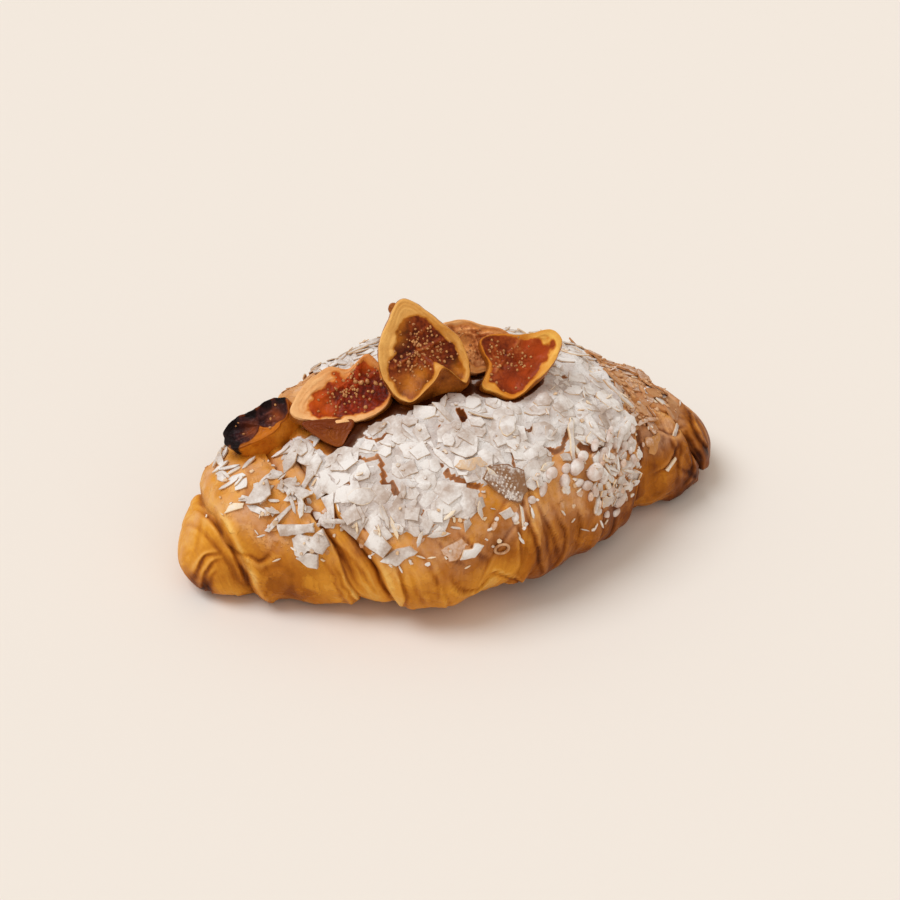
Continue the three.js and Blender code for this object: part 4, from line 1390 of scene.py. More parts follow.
class FigSeeds:
    """The seeds that stand out of the pulp, joined into one piece."""

    SEGMENTS = 8
    RINGS = 5

    def __init__(self, places: list[tuple[Array, float]], rng: Random) -> None:
        """Keeps the seeds' middles and radii in millimetres."""
        self.places = places
        self.rng = rng

    def build(self) -> Mesh:
        """One drop-shaped seed, copied to every place."""
        model = ball(self.SEGMENTS, self.RINGS)
        unit = read_points(model)
        unit[:, :2] *= (1 - 0.12 * unit[:, 2])[:, None]
        copies = []
        for middle, radius in self.places:
            turn = np.array(Matrix.Rotation(self.rng.uniform(0, 6.3), 3, Vector(self.rng.normal(size=3))))
            stretch = np.array([0.92, 0.92, self.rng.uniform(1.0, 1.25)]) * radius
            copies.append(copy_of(model, (unit * stretch) @ turn.T + middle))
        bpy.data.objects.remove(model)
        finish = PlainFinish("fig_seed", (0.64, 0.3, 0.095), (0.3, 0.09, 0.02), 0.4, 1.2)
        return deliver(joined(copies), "fig_seeds", finish.make())


# ---------------------------------------------------------------- almonds, sugar and crumbs
class Cut(Enum):
    """How a flake broke."""

    SLICE = "slice"
    HALF = "half"
    CORNER = "corner"
    SLIVER = "sliver"
    SHARD = "shard"


class Zone(Enum):
    """Where something lies on the crust."""

    HEAVY = "under the heavy sugar"
    MARGIN = "just below it"
    LEFT = "on the first wrap"
    RIGHT = "on the right-hand wrap"
    NIBS = "low on the right of the widest wraps"
    VEIL = "anywhere under sugar"
    SCALES = "the browned crust below the sugar"


@dataclass(frozen=True)
class Scatter:
    """One kind of scattered plate: how many, where and how large."""

    cut: Cut
    count: int
    zone: Zone
    radius: Pair
    thickness: Pair
    spacing: float
    sugar: Pair
    sink: float = 0.6
    tilt: float = 0.08
    seed: int = 1
    tint: Pair = (0.0, 0.3)


@dataclass(frozen=True)
class KeyFlake:
    """A single flake of the photo: its outline across and up on the crust, and where its middle lies."""

    x: float
    degrees: float
    outline: Path
    thickness: float = 0.8
    sugar: float = 1.0
    tint: float = 0.1
    lean: Pair = (0.0, 0.0)


# The order of the numbers is that of the fields of KeyFlake.
KEY_FLAKES = tuple(KeyFlake(*row) for row in (
    # Thick white pieces low on the first wrap.
    (-57.4, 33, ((-5.6, 1.8), (-5.2, -1.3), (-1.5, -1.7), (4.9, -1.5), (5.2, 0.9), (0.5, 1.2)), 1.3, 1, 0),
    (
        -54.6, 22,
        (
            (-5.4, 2.4), (-3.2, 3.4), (0.4, 2.4), (3.2, 4.2), (5.2, -0.6), (2.6, -3), (-1.2, -1.4),
            (-3.6, -3.6), (-5.2, -2.2),
        ),
        1.5,
    ),
    (-56, 11, ((-3, 1.5), (0.4, 2.8), (3.4, 1.9), (2.2, -2.9), (-0.4, -1.8)), 1.5, 0.95),
    # The square flake and the white clusters below the heavy sugar.
    (-38.6, 23, ((-4.2, -1), (-0.6, 4.3), (4.2, -1.4), (1.6, -4.6)), 0.9, 1, 0, (0.05, -0.18)),
    (-34.5, 16, ((-5.5, -2), (-1.5, 1.2), (3.4, 2.6), (5.8, 1), (2, -1.4), (-1, -3.4)), 1.1, 0.95),
    (
        -15.5, 11, ((-3.8, -1.4), (-2.2, 1.2), (0.2, 0.6), (1.4, 2), (3.8, 0.6), (1.8, -1.2), (0.4, -2.2)),
        1.2, 0.85,
    ),
    # Two flakes that stand up below the top wedge, and a bare one beside the dark hollow.
    (-14.6, 74, ((-3.4, 1.2), (-1.8, 3.4), (3.4, -0.8), (2.2, -2.6), (-2.4, -1)), 0.8, 0.65, 0.1, (0.2, 0.4)),
    (-9.8, 71, ((-1.9, 3.6), (0.6, 2.6), (2.2, -3.4), (0.2, -3)), 0.8, 0.75, 0.1, (-0.3, 0.1)),
    (-10.2, 47, ((-4.2, 1.2), (-2.2, 2.2), (3.6, 1), (4.8, -1.6), (-0.4, -1.4)), 0.8, 0.25, 0.75, (0, 0.45)),
    # Long slivers of the right half.
    (
        23.4, 45, ((-1.8, -6.4), (-2.6, -5.6), (0.6, 3.6), (2.6, 6.2), (3, 5.2), (0.2, -1)), 0.9, 0.6, 0.1,
        (0.2, 0),
    ),
    (31.6, 47, ((-2.4, 4.4), (2.4, 4.8), (0.8, -5.2), (-1.6, -0.8)), 0.8, 0.9, 0, (0.15, 0.1)),
    (46.8, 66, ((-2.4, 5.4), (-1, 5.2), (3.6, -5.4), (2.6, -6.4), (-0.6, -1)), 0.9, 0.85, 0),
    (42, 38, ((-4.2, -3.4), (-3.4, -0.6), (0.6, 3), (4.6, 4.4), (4.8, 3), (0.4, 0.2)), 1.1, 0.95, 0),
    (66.6, 44, ((-2, -2.2), (1.4, 2.2), (2.2, 1.4), (-0.6, -2.4)), 0.8, 0.75, 0.1),
    (61.8, 14, ((-2.6, -1.8), (1.6, 2), (2.2, 1.2), (-1.4, -2.4)), 0.6, 0.25, 0.4),
    (0.8, 18, ((-0.5, 4), (0.6, 2.6), (0.5, -3), (-0.7, -3.6)), 0.7, 0.45, 0.1, (-0.3, 0)),
    (-3.6, 22, ((-2.2, 0.8), (1.4, 1.6), (2.4, -0.9), (-0.8, -1.4)), 0.8, 0.5, 0.1),
    # Thin pieces on the first wrap.
    (-64, 62, ((-4, -1.4), (0.2, 3), (4.2, 3.6), (3.8, -1.4), (0.4, -2.6)), 0.7, 0.95, 0),
    (-53.6, 56, ((-3.8, 3.2), (0.4, 1.8), (4, -1.2), (0.6, -3.6)), 0.7, 0.7, 0),
    (-47.4, 44, ((-2, 2.6), (2.4, 3.4), (2, -4.6), (-0.2, -1.4)), 0.7, 0.9, 0),
    (-61, 42, ((-4.6, -2.6), (0, 0.8), (4.4, 3), (4.6, 2), (-3.4, -3.4)), 0.8, 0.9, 0.1),
    (-51.4, 79, ((-4, -2.6), (-3, 0.6), (3, 4.2), (4.6, 3), (0.2, -1.6)), 0.7, 0.75, 0),
    (-48.6, 68, ((-3.2, -2), (-1.2, 1.6), (3, 3.4), (3.6, 0.4), (0.6, -2.4)), 0.7, 0.95, 0),
    (-50.6, 62, ((-2.4, -1.4), (-0.2, 0.8), (2.6, 1.8), (2.4, 0.8), (-1.4, -2.2)), 0.7, 0.85, 0.1),
    (-71.4, 62, ((-3.2, -0.4), (0, 1.4), (3.6, -0.6), (2.8, -1.5)), 0.7, 0.2, 0.2),
))
# Rounded nibs: x, degrees, half length and half width in mm, turn in degrees, and how far they stand out.
NIBS = (
    (22.3, 32, 2.9, 2.1, 20, 0.5), (27.9, 27, 3.1, 2.5, 5, 0.6), (32.7, 33, 3.6, 1.7, 25, 0.6),
    (36.6, 29, 2, 1.5, -20, 0.4), (13.2, 33, 2.2, 1.7, 30, 0.3), (9.4, 28, 2.2, 1.4, 50, 0.3),
    (39.8, 37, 3, 1.4, 20, 0.6), (37, 42, 3.7, 1, 38, 0.7), (41.5, 29, 2.4, 1.5, 5, 0.4),
    (46, 36, 1.6, 1.1, 70, 0.5), (46.8, 43, 1.7, 1.2, 80, 0.5), (46.2, 23, 2, 1.1, 100, 0.4),
    (43.2, 19, 2.2, 1.7, 10, 0.3), (27.6, 17, 2.2, 1.2, -60, 0.4), (38.7, 2, 2.4, 1.6, 15, 0.6),
    (32, 1, 1.2, 1.1, 0, 0.3), (37.4, -3, 2, 1.3, 0, 0.3), (41.5, 9, 1, 1.5, 0, 0.4),
    (17.4, 27, 2.2, 1.8, 40, 0.2), (22.3, 24, 1.7, 1.3, 0, 0.2), (5, 25, 1.4, 1.2, 0, 0.2),
    (45.6, 30, 1.6, 1, 60, 0.5), (44, 13, 1.6, 1, 80, 0.4), (-1, 19, 1.6, 1.1, 70, 0.3),
    (25.4, 36, 2, 1.5, 30, 0.4), (30.2, 39, 2.4, 1.2, 40, 0.5), (35.8, 36, 2.2, 1.4, 15, 0.5),
    (25, 21, 2, 1.5, 0, 0.3), (31.6, 22, 2.2, 1.5, 20, 0.4), (36.4, 22, 1.9, 1.4, -15, 0.4),
    (40.6, 23, 1.9, 1.3, 40, 0.4), (43.4, 34, 1.9, 1.2, 50, 0.5), (33.8, 14, 2.2, 1.5, 10, 0.3),
    (40, 15, 1.8, 1.2, 30, 0.3), (19, 33, 1.8, 1.4, 20, 0.3),
)
# The flake with rows of pale seeds on it.
SEEDED = KeyFlake(
    -1.4, 35,
    ((-6.4, 3), (-3.6, 6.4), (2, 5), (6, 2.6), (5.2, -3.4), (2.4, -6.4), (-1.2, -4.6), (-4.4, -0.6)), 0.9,
    0.2, 0.9,
)


class Pile:
    """How high things lie on the crust, over its unwrapped surface, so that each rests on what is below."""

    STEP_X = 0.5
    STEP_ANGLE = math.radians(0.6)
    FIRST_ANGLE = math.radians(-22)
    FAR = 15.0

    def __init__(self, body: CroissantBody, figs: BVHTree) -> None:
        """Maps the bare crust and how far it is from the figs."""
        self.body = body
        self.xs = np.arange(-84, 86, self.STEP_X)
        self.angles = np.arange(self.FIRST_ANGLE, math.pi - self.FIRST_ANGLE, self.STEP_ANGLE)
        self.x, self.angle = np.meshgrid(self.xs, self.angles, indexing="ij")
        shape = self.x.shape
        flat_x, flat_angle = self.x.ravel(), self.angle.ravel()
        self.points = body.at_place(flat_x, flat_angle).reshape(*shape, 3)
        smooth = body.shell(flat_x, flat_angle, np.zeros(flat_x.size)).reshape(*shape, 3)
        self.along = np.gradient(smooth, axis=0)
        self.round = np.gradient(smooth, axis=1)
        normal = np.cross(self.along, self.round)
        self.area = norms(normal)
        self.normal = normal / self.area[..., None]
        self.along /= norms(self.along)[..., None]
        if self.normal[shape[0] // 2, shape[1] // 2, 2] < 0:
            self.normal = -self.normal
        self.height = np.zeros(shape)
        self.clear = self._clearance(figs)
        self.heavy = body.heavy_sugar(flat_x, flat_angle).reshape(shape)
        self.gap = body.gap_depth(flat_x, flat_angle).reshape(shape)

    def _clearance(self, figs: BVHTree) -> Array:
        """Distance of each place from the figs, below zero inside them, looked up at every other place."""
        coarse = self.points[::2, ::2] + 0.6 * self.normal[::2, ::2]
        found = np.full(coarse.shape[:2], self.FAR)
        for cell in np.ndindex(*found.shape):
            point = Vector(coarse[cell] * MM)
            spot, normal, _, distance = figs.find_nearest(point, self.FAR * MM)
            if spot is not None:
                found[cell] = distance / MM * (1 if (point - spot).dot(normal) > 0 else -1)
        full = np.repeat(np.repeat(found, 2, axis=0), 2, axis=1)
        return blurred(full[: len(self.xs), : len(self.angles)], 1)

    def syrup_shadow_reach(self, x: Array) -> Array:
        """How far from the figs the crust stays free of sugar; dark syrup and painted shadow show on the left
        only.
        """
        return 1.5 + 3.2 * (1 - smoothstep(x, -4, 8))

    def sample(self, values: Array, x: Array, angle: Array) -> Array:
        """A map's values at places on the crust, 0 beyond its edges."""
        i = (x - self.xs[0]) / self.STEP_X
        turned = np.where(angle < self.angles[0], angle + 2 * math.pi, angle)
        j = (turned - self.angles[0]) / self.STEP_ANGLE
        inside = (i >= 0) & (i <= len(self.xs) - 1) & (j >= 0) & (j <= len(self.angles) - 1)
        i0 = np.clip(i.astype(int), 0, len(self.xs) - 2)
        j0 = np.clip(j.astype(int), 0, len(self.angles) - 2)
        u, v = np.clip(i - i0, 0, 1), np.clip(j - j0, 0, 1)
        first = values[i0, j0] * (1 - u) + values[i0 + 1, j0] * u
        second = values[i0, j0 + 1] * (1 - u) + values[i0 + 1, j0 + 1] * u
        outside = self.FAR if values is self.clear else 0.0
        return np.where(inside, first * (1 - v) + second * v, outside)

    def powder(self) -> Array:
        """How deep the powdered sugar lies between and over the flakes."""
        settled = blurred(self.height, 6)
        heavy = smoothstep(self.heavy, -1.0, 2.0)
        share = 0.9 + 0.14 * smoothstep(self.x, 0, 14) * smoothstep(self.angle, 0.4, 0.8)
        clear = smoothstep(self.clear, 0.3, 2.0) * (1 - 0.9 * self.gap)
        return share * settled * (0.25 + 0.75 * heavy) * clear

    def welcome(self, zone: Zone) -> Array:
        """How welcome a plate is at each place, from 0 to 1."""
        body, x = self.body, self.x
        flat_x, flat_angle = x.ravel(), self.angle.ravel()
        heavy = smoothstep(self.heavy, 0.0, 2.5)
        patch = bumps(rows(flat_x, np.degrees(flat_angle) * 0.7), 8, 91).reshape(x.shape)
        plain = body.above_line(body.sugar_line, flat_x, flat_angle).reshape(x.shape)
        veil = body.above_line(body.haze_line, flat_x, flat_angle).reshape(x.shape)
        high = body.folded(self.angle)
        front = 1 - smoothstep(self.angle, 1.46, 1.68) * smoothstep(-x, 24, 34)
        if zone is Zone.HEAVY:
            return heavy
        if zone is Zone.MARGIN:
            return smoothstep(plain + 3 * patch, -7, -1) * (1 - heavy) * (x > -50) * (x < 50) * front
        if zone is Zone.LEFT:
            low = np.interp(x, (-74, -71, -67, -60, -53), (100, 74, 51, 41, 37))
            top = np.interp(x, (-66, -61, -57, -53, -50), (98, 86, 74, 56, 46))
            above, under = high - low + 5 * patch, top - high + 5 * patch
            return smoothstep(above, -1, 4) * smoothstep(under, -1, 4) * (x < -46)
        if zone is Zone.RIGHT:
            line = np.interp(x, (48, 57, 66, 76), (40, 44, 52, 66))
            return smoothstep(high - line + 10 * patch, -2, 8) * smoothstep(x, 48, 51) * (x < 73)
        if zone is Zone.SCALES:
            between = smoothstep(veil, -5, 1) * smoothstep(-self.heavy, -3, 1) * (x > -72) * (x < 70)
            return between * smoothstep(high, 6, 18)
        if zone is Zone.NIBS:
            return bell(x - 38, 9) * smoothstep(high, 2, 12) * (1 - smoothstep(high, 24, 38))
        return smoothstep(veil + 5 * patch, 0, 8) * (1 - 0.6 * heavy) * (0.5 + 0.5 * patch) * front

    def cell(self, x: float, angle: float) -> Cell:
        """The map's cell at a place."""
        i = int(np.clip(round((x - self.xs[0]) / self.STEP_X), 0, len(self.xs) - 1))
        j = int(np.clip(round((angle - self.angles[0]) / self.STEP_ANGLE), 0, len(self.angles) - 1))
        return i, j

    def pick(self, zone: Zone, count: int, margin: float, rng: Random) -> Iterable[Cell]:
        """Cells picked at random where something is welcome and clear of the figs by a margin."""
        free = self.clear > np.maximum(margin, 0.8 * self.syrup_shadow_reach(self.x))
        weight = (self.welcome(zone) * self.area * free).ravel()
        weight = np.maximum(weight, 0)
        spots = rng.choice(weight.size, size=count, p=weight / weight.sum())
        return (divmod(int(spot), len(self.angles)) for spot in spots)

    def frame_at(self, i: int, j: int, spin: float) -> tuple[Array, Array]:
        """The crust's point in a cell, and rows across, up and out of a plate that lies there."""
        out, along = self.normal[i, j], self.along[i, j]
        side = np.cross(out, along)
        across = along * math.cos(spin) + side * math.sin(spin)
        return self.points[i, j], np.array([across, np.cross(out, across), out])

    def rest(
        self, cell: Cell, spin: float, outline: Array, thickness: float, lean: Array, sink: float, bridge: bool
    ) -> Optional[Rested]:
        """Lays a plate down and raises the pile under it.

        Args:
            cell: The cell of its middle.
            spin: How far it is turned on the crust, in radians.
            outline: Its outline in millimetres.
            thickness: Its thickness.
            lean: Extra slope across and up.
            sink: Share of what is below it that it lies above.
            bridge: Whether it may lie over a gap.

        Returns:
            Where it rests, or None where it doesn't fit.
        """
        i, j = cell
        origin, axes = self.frame_at(i, j, spin)
        reach = np.abs(outline).max() + 1.5
        arc = np.linalg.norm(self.round[i, j]) + 1e-6
        di, dj = int(reach / self.STEP_X) + 1, int(reach / arc) + 1
        window = np.s_[max(0, i - di) : i + di + 1, max(0, j - dj) : j + dj + 1]
        local = (self.points[window] - origin) @ axes.T
        inside = inside_outline(local[..., :2].reshape(-1, 2), outline).reshape(local.shape[:2])
        if inside.sum() < 3 or self.clear[window][inside].min() < 0.9:
            return None
        if not bridge and self.gap[window][inside].mean() > 0.1:
            return None
        flat, level = local[inside][:, :2], local[inside][:, 2]
        support = level + self.height[window][inside]
        design = np.concatenate([flat, np.ones((len(flat), 1))], -1)
        slope = np.linalg.solve(design.T @ design + np.eye(3) * 0.02, design.T @ support)[:2]
        slope = np.clip(slope * 0.85, -0.5, 0.5) + lean
        base = np.quantile(support - flat @ slope, sink) + 0.03
        top = base + flat @ slope + thickness - level
        pile = self.height[window]
        pile[inside] = np.maximum(pile[inside], top)
        return origin, axes, base, slope


class Topping:
    """Everything that lies on the crust: flakes, slivers, chips, nibs, pastry shards and crumbs."""

    # Outlines made for each kind, places tried for each plate or lump, and the least angle of a sharp edge.
    MODELS = 6
    PLATE_TRIES = 14
    LUMP_TRIES = 12
    CREASE = 42.0
    # The order of the numbers is that of the fields of Scatter.
    SUGARED = (
        (Cut.CORNER, 190, Zone.HEAVY, (4, 6), (0.36, 0.52), 5, (0.9, 1), 0.6, 0.02, 2),
        (Cut.HALF, 90, Zone.HEAVY, (3.6, 5.6), (0.4, 0.58), 6.5, (0.85, 1), 0.64, 0.04, 3),
        (Cut.CORNER, 110, Zone.HEAVY, (2.2, 3.8), (0.4, 0.62), 5, (0.85, 1), 0.66, 0.07, 4),
        (Cut.SLIVER, 26, Zone.HEAVY, (2.6, 4.8), (0.45, 0.7), 7, (0.6, 1), 0.7, 0.1, 5),
        (Cut.CORNER, 30, Zone.MARGIN, (1.8, 3.4), (0.6, 1), 4.2, (0.75, 1), 0.6, 0.15, 6),
    )
    BARE = (
        (Cut.HALF, 9, Zone.LEFT, (2.8, 4.2), (0.45, 0.65), 4, (0.55, 1), 0.7, 0.06, 7),
        (Cut.CORNER, 16, Zone.LEFT, (1.5, 2.8), (0.45, 0.65), 2.8, (0.5, 1), 0.7, 0.1, 8),
        (Cut.SLIVER, 34, Zone.LEFT, (1.8, 4.2), (0.5, 0.75), 2.2, (0.45, 1), 0.8, 0.1, 9),
        (Cut.SLIVER, 30, Zone.MARGIN, (1.6, 3.6), (0.5, 0.8), 3.6, (0.1, 0.8), 0.8, 0.14, 10),
        (Cut.SLICE, 7, Zone.HEAVY, (3.8, 4.8), (0.55, 0.7), 16, (0.55, 0.8), 0.7, 0.06, 11),
        (Cut.CORNER, 18, Zone.RIGHT, (1.2, 2.6), (0.45, 0.75), 3.4, (0.3, 0.9), 0.8, 0.1, 12),
    )
    CHIPS = (
        (Cut.SHARD, 190, Zone.VEIL, (0.4, 1), (0.3, 0.55), 1, (0, 0.7), 0.7, 0.2, 13, (0.2, 0.9)),
        (Cut.SLIVER, 110, Zone.VEIL, (0.8, 1.8), (0.3, 0.55), 1.2, (0, 0.8), 0.7, 0.2, 14, (0, 0.7)),
        (Cut.SHARD, 70, Zone.NIBS, (1.3, 2.8), (0.5, 0.9), 2.2, (0.3, 0.8), 0.6, 0.14, 21, (0.2, 0.8)),
        (Cut.SLIVER, 26, Zone.NIBS, (1.6, 3.2), (0.6, 1), 2.4, (0.6, 1), 0.6, 0.14, 22, (0.2, 0.6)),
        (Cut.SHARD, 36, Zone.HEAVY, (0.6, 1.3), (0.3, 0.5), 3, (0.8, 1), 0.7, 0.1, 19),
    )
    SHARDS = (
        (Cut.SHARD, 30, Zone.RIGHT, (3, 5.2), (0.4, 0.6), 4.4, (0, 0.4), 0.7, 0.1, 15, (0.45, 1.1)),
        (Cut.SLIVER, 22, Zone.RIGHT, (2, 4.4), (0.45, 0.75), 3, (0.1, 0.6), 0.8, 0.1, 16, (0.4, 1)),
    )
    SCALES = (
        (Cut.SHARD, 16, Zone.SCALES, (2.2, 4.6), (0.22, 0.34), 5, (0, 0.45), 0.6, 0.05, 17, (0.3, 0.9)),
        (Cut.SHARD, 46, Zone.SCALES, (0.9, 2.2), (0.22, 0.36), 2.6, (0, 0.45), 0.6, 0.08, 18, (0.3, 0.9)),
    )

    def __init__(self, pile: Pile) -> None:
        """Keeps the map of the crust that it lies on."""
        self.pile = pile

    def outline(self, cut: Cut, rng: Random) -> Array:
        """The outline of a plate of about unit radius."""
        few = int(rng.integers(4, 7))
        corners = {Cut.SLICE: 12, Cut.HALF: 8, Cut.CORNER: few, Cut.SLIVER: 6, Cut.SHARD: 8}[cut]
        turn = (np.arange(corners) + rng.uniform(-0.27, 0.27, corners)) * 2 * math.pi / corners
        points = rows(np.cos(turn), np.sin(turn))
        if cut is Cut.SLICE:
            return points * np.array([1.0, 0.55]) * (1 + rng.uniform(-0.06, 0.06, corners))[:, None]
        if cut is Cut.HALF:
            points *= np.array([1.0, 0.75])
            broken = 0.25 + 0.3 * points[:, 1] + rng.uniform(-0.1, 0.1, corners)
            points[:, 0] = np.minimum(points[:, 0], broken)
            return points - points.mean(0)
        if cut is Cut.SLIVER:
            return points * np.array([1.0, rng.uniform(0.18, 0.3)])
        reach = rng.uniform(0.6 if cut is Cut.SHARD else 0.82, 1.08, corners)
        return points * reach[:, None] * np.array([1.0, rng.uniform(0.6, 0.9)])

    @staticmethod
    def ragged(outline: Array, parts: int, rough: float, rng: Random) -> Array:
        """An outline with each side broken into parts whose corners are moved by a share of its size."""
        steps = np.linspace(0, 1, parts, endpoint=False)[:, None]
        sides = [a + (b - a) * steps for a, b in zip(outline, np.roll(outline, -1, axis=0))]
        points = np.concatenate(sides)
        points += rng.uniform(-rough, rough, points.shape) * np.abs(outline).max()
        return points

    @staticmethod
    def plate(outline: Array, puffed: float = 0.0) -> Mesh:
        """A plate a unit thick: its outline drawn, raised and eased over at the top.

        Args:
            outline: The outline, of about unit radius.
            puffed: How far the middle of its top stands above its edge, where the outline is convex.

        Returns:
            The plate.
        """
        bpy.ops.object.select_all(action="DESELECT")
        bpy.ops.mesh.primitive_circle_add(vertices=len(outline), radius=1, fill_type="NGON")
        obj = bpy.context.object
        write_points(obj, np.concatenate([outline, np.zeros((len(outline), 1))], -1))
        bpy.ops.object.mode_set(mode="EDIT")
        bpy.ops.mesh.select_all(action="SELECT")
        bpy.ops.mesh.extrude_region_move(TRANSFORM_OT_translate={"value": (0, 0, 0.82)})
        bpy.ops.mesh.inset(thickness=0.06, depth=0.16)
        if puffed:
            bpy.ops.mesh.poke(offset=puffed)
        bpy.ops.mesh.select_all(action="SELECT")
        bpy.ops.mesh.normals_make_consistent(inside=False)
        bpy.ops.object.mode_set(mode="OBJECT")
        return obj

    @staticmethod
    def set_down(local: Array, rested: Rested, bend: float) -> Array:
        """A plate's points, given in its own frame, where it rests."""
        origin, axes, base, slope = rested
        points = local.copy()
        points[:, 2] += base + local[:, :2] @ slope + bend * (local[:, :2] ** 2).sum(-1)
        return points @ axes + origin

    @staticmethod
    def tinted(obj: Mesh, height: Array, tint: float, sugar: float) -> None:
        """Keeps what the almond finish reads: how near the top each point is, the tint and the sugar."""
        same = np.ones(len(height))
        paint(obj, top=np.clip((height - 0.58) / 0.38, 0, 1), tint=tint * same, sugar=sugar * same)

    def lay(self, kind: Scatter) -> list[Mesh]:
        """Scatters one kind of plate over its zone."""
        rng = np.random.default_rng(kind.seed)
        whole = kind.cut is Cut.SLICE
        outlines = [self.outline(kind.cut, rng) for _ in range(self.MODELS)]
        rough = {Cut.SLIVER: 0.02, Cut.SHARD: 0.09}.get(kind.cut, 0.045)
        outlines = [self.ragged(outline, 1 if whole else 2, rough, rng) for outline in outlines]
        models = [self.plate(outline, 0.05) for outline in outlines]
        shapes = [read_points(model) for model in models]
        middles = np.zeros((0, 3))
        laid = []
        margin = 1.0 + 0.3 * kind.radius[0]
        for i, j in self.pile.pick(kind.zone, kind.count * self.PLATE_TRIES, margin, rng):
            if len(laid) >= kind.count:
                break
            here = self.pile.points[i, j]
            if len(middles) and norms(middles - here).min() < kind.spacing:
                continue
            pick, radius = rng.integers(self.MODELS), rng.uniform(*kind.radius)
            spin, thickness = rng.uniform(0, 2 * math.pi), rng.uniform(*kind.thickness)
            lean, bend = rng.normal(0, kind.tilt, 2), rng.normal(0, 0.012)
            outline = outlines[pick] * radius
            rested = self.pile.rest((i, j), spin, outline, thickness, lean, kind.sink, False)
            if rested is None:
                continue
            middles = np.concatenate([middles, here[None]])
            size = np.array([radius, radius, thickness])
            twin = copy_of(models[pick], self.set_down(shapes[pick] * size, rested, bend))
            self.tinted(twin, shapes[pick][:, 2], rng.uniform(*kind.tint), rng.uniform(*kind.sugar))
            laid.append(twin)
        for model in models:
            bpy.data.objects.remove(model)
        return laid

    def lay_all(self, kinds: Sequence[tuple]) -> list[Mesh]:
        """Scatters several kinds of plate, one after another, each given as the fields of a Scatter."""
        return [twin for row in kinds for twin in self.lay(Scatter(*row))]

    def lay_key(self, flake: KeyFlake) -> tuple[Mesh, Rested]:
        """Lays one of the photo's own flakes and says where it rests."""
        sharp = np.array(flake.outline)
        ahead = np.roll(sharp, -1, axis=0)
        if (sharp[:, 0] * ahead[:, 1] - sharp[:, 1] * ahead[:, 0]).sum() < 0:
            sharp = sharp[::-1]
        outline = self.ragged(sharp, 3, 0.04, np.random.default_rng(int(abs(flake.x) * 10)))
        size = np.abs(outline).max()
        cell = self.pile.cell(flake.x, math.radians(flake.degrees))
        rested = self.pile.rest(cell, 0.0, outline, flake.thickness, np.array(flake.lean), 0.75, True)
        if rested is None:
            raise ValueError(f"a key flake at {flake.x}, {flake.degrees} doesn't fit")
        obj = self.plate(outline / size)
        shape = read_points(obj)
        local = shape * np.array([size, size, flake.thickness])
        write_points(obj, self.set_down(local, rested, 0.0) * MM)
        self.tinted(obj, shape[:, 2], flake.tint, flake.sugar)
        return obj, rested

    def build(self) -> None:
        """Lays every kind, the lowest first."""
        scales, sugared, bare = (self.lay_all(kinds) for kinds in (self.SCALES, self.SUGARED, self.BARE))
        self.nibs()
        keys = [self.lay_key(flake)[0] for flake in KEY_FLAKES]
        chips, shards = self.lay_all(self.CHIPS), self.lay_all(self.SHARDS)
        self.seeded_flake()
        self.lumps(
            "crust_crumbs", 150, Zone.RIGHT, (0.35, 0.9), (0.74, 0.46, 0.26), (0.5, 0.22, 0.07), 33,
        )
        self.curl()
        white, nut = AlmondFinish("sugared_almond").make(), AlmondFinish("bare_almond").make()
        peach = AlmondFinish(
            "pastry_shard", ivory=(0.66, 0.36, 0.165), toasted=(0.4, 0.15, 0.042), edge=(0.5, 0.22, 0.08),
            powder=(0.7, 0.53, 0.43), shade=(0.48, 0.28, 0.17),
        )
        brown = AlmondFinish(
            "crust_scale", ivory=(0.7, 0.36, 0.13), toasted=(0.4, 0.14, 0.025), edge=(0.74, 0.42, 0.18),
            powder=(0.76, 0.55, 0.43), shade=(0.6, 0.36, 0.23),
        )
        for plates, name, slot, finish in (
            (sugared, "flakes_sugared", "icing_sugar", white), (bare + keys, "flakes_bare", "almond", nut),
            (chips, "flake_chips", "icing_sugar", white), (shards, "crust_shards", "crust", peach.make()),
            (scales, "crust_scales", "crust", brown.make()),
        ):
            deliver(joined(plates), name, finish, crease=self.CREASE)

    def seeded_flake(self) -> None:
        """The flake with rows of pale seeds that fan out over it."""
        obj, (origin, axes, base, slope) = self.lay_key(SEEDED)
        bark = AlmondFinish("seeded_bark", ivory=(0.4, 0.22, 0.11), toasted=(0.2, 0.085, 0.035))
        deliver(obj, "seeded_flake", bark.make(), crease=self.CREASE)
        inner = np.array(SEEDED.outline) * 0.95
        model = ball(8, 6)
        unit = read_points(model)
        copies = []
        for ray, row in itertools.product(np.linspace(-1, 1, 9), range(13)):
            reach = 1.2 + 1.02 * row
            spot = np.array([3.6 - 0.75 * reach + 0.34 * ray * reach, -7.6 + reach + 0.36 * ray * reach])
            spot += 0.12 * np.sin([row * 2.3 + ray * 9, row * 3.1 + ray * 5])
            if not inside_outline(spot[None], inner)[0]:
                continue
            size = np.array([0.34, 0.42, 0.22]) * (0.55 + 0.55 * math.sin(row * 5.1 + ray * 7.7) ** 2)
            height = base + spot @ slope + SEEDED.thickness
            copies.append(copy_of(model, (unit * size + [*spot, height]) @ axes + origin))
        bpy.data.objects.remove(model)
        pale = PlainFinish("seeded_rows", (0.78, 0.7, 0.64), (0.46, 0.32, 0.23), 0.8, 1.4)
        deliver(joined(copies), "seeded_rows", pale.make())

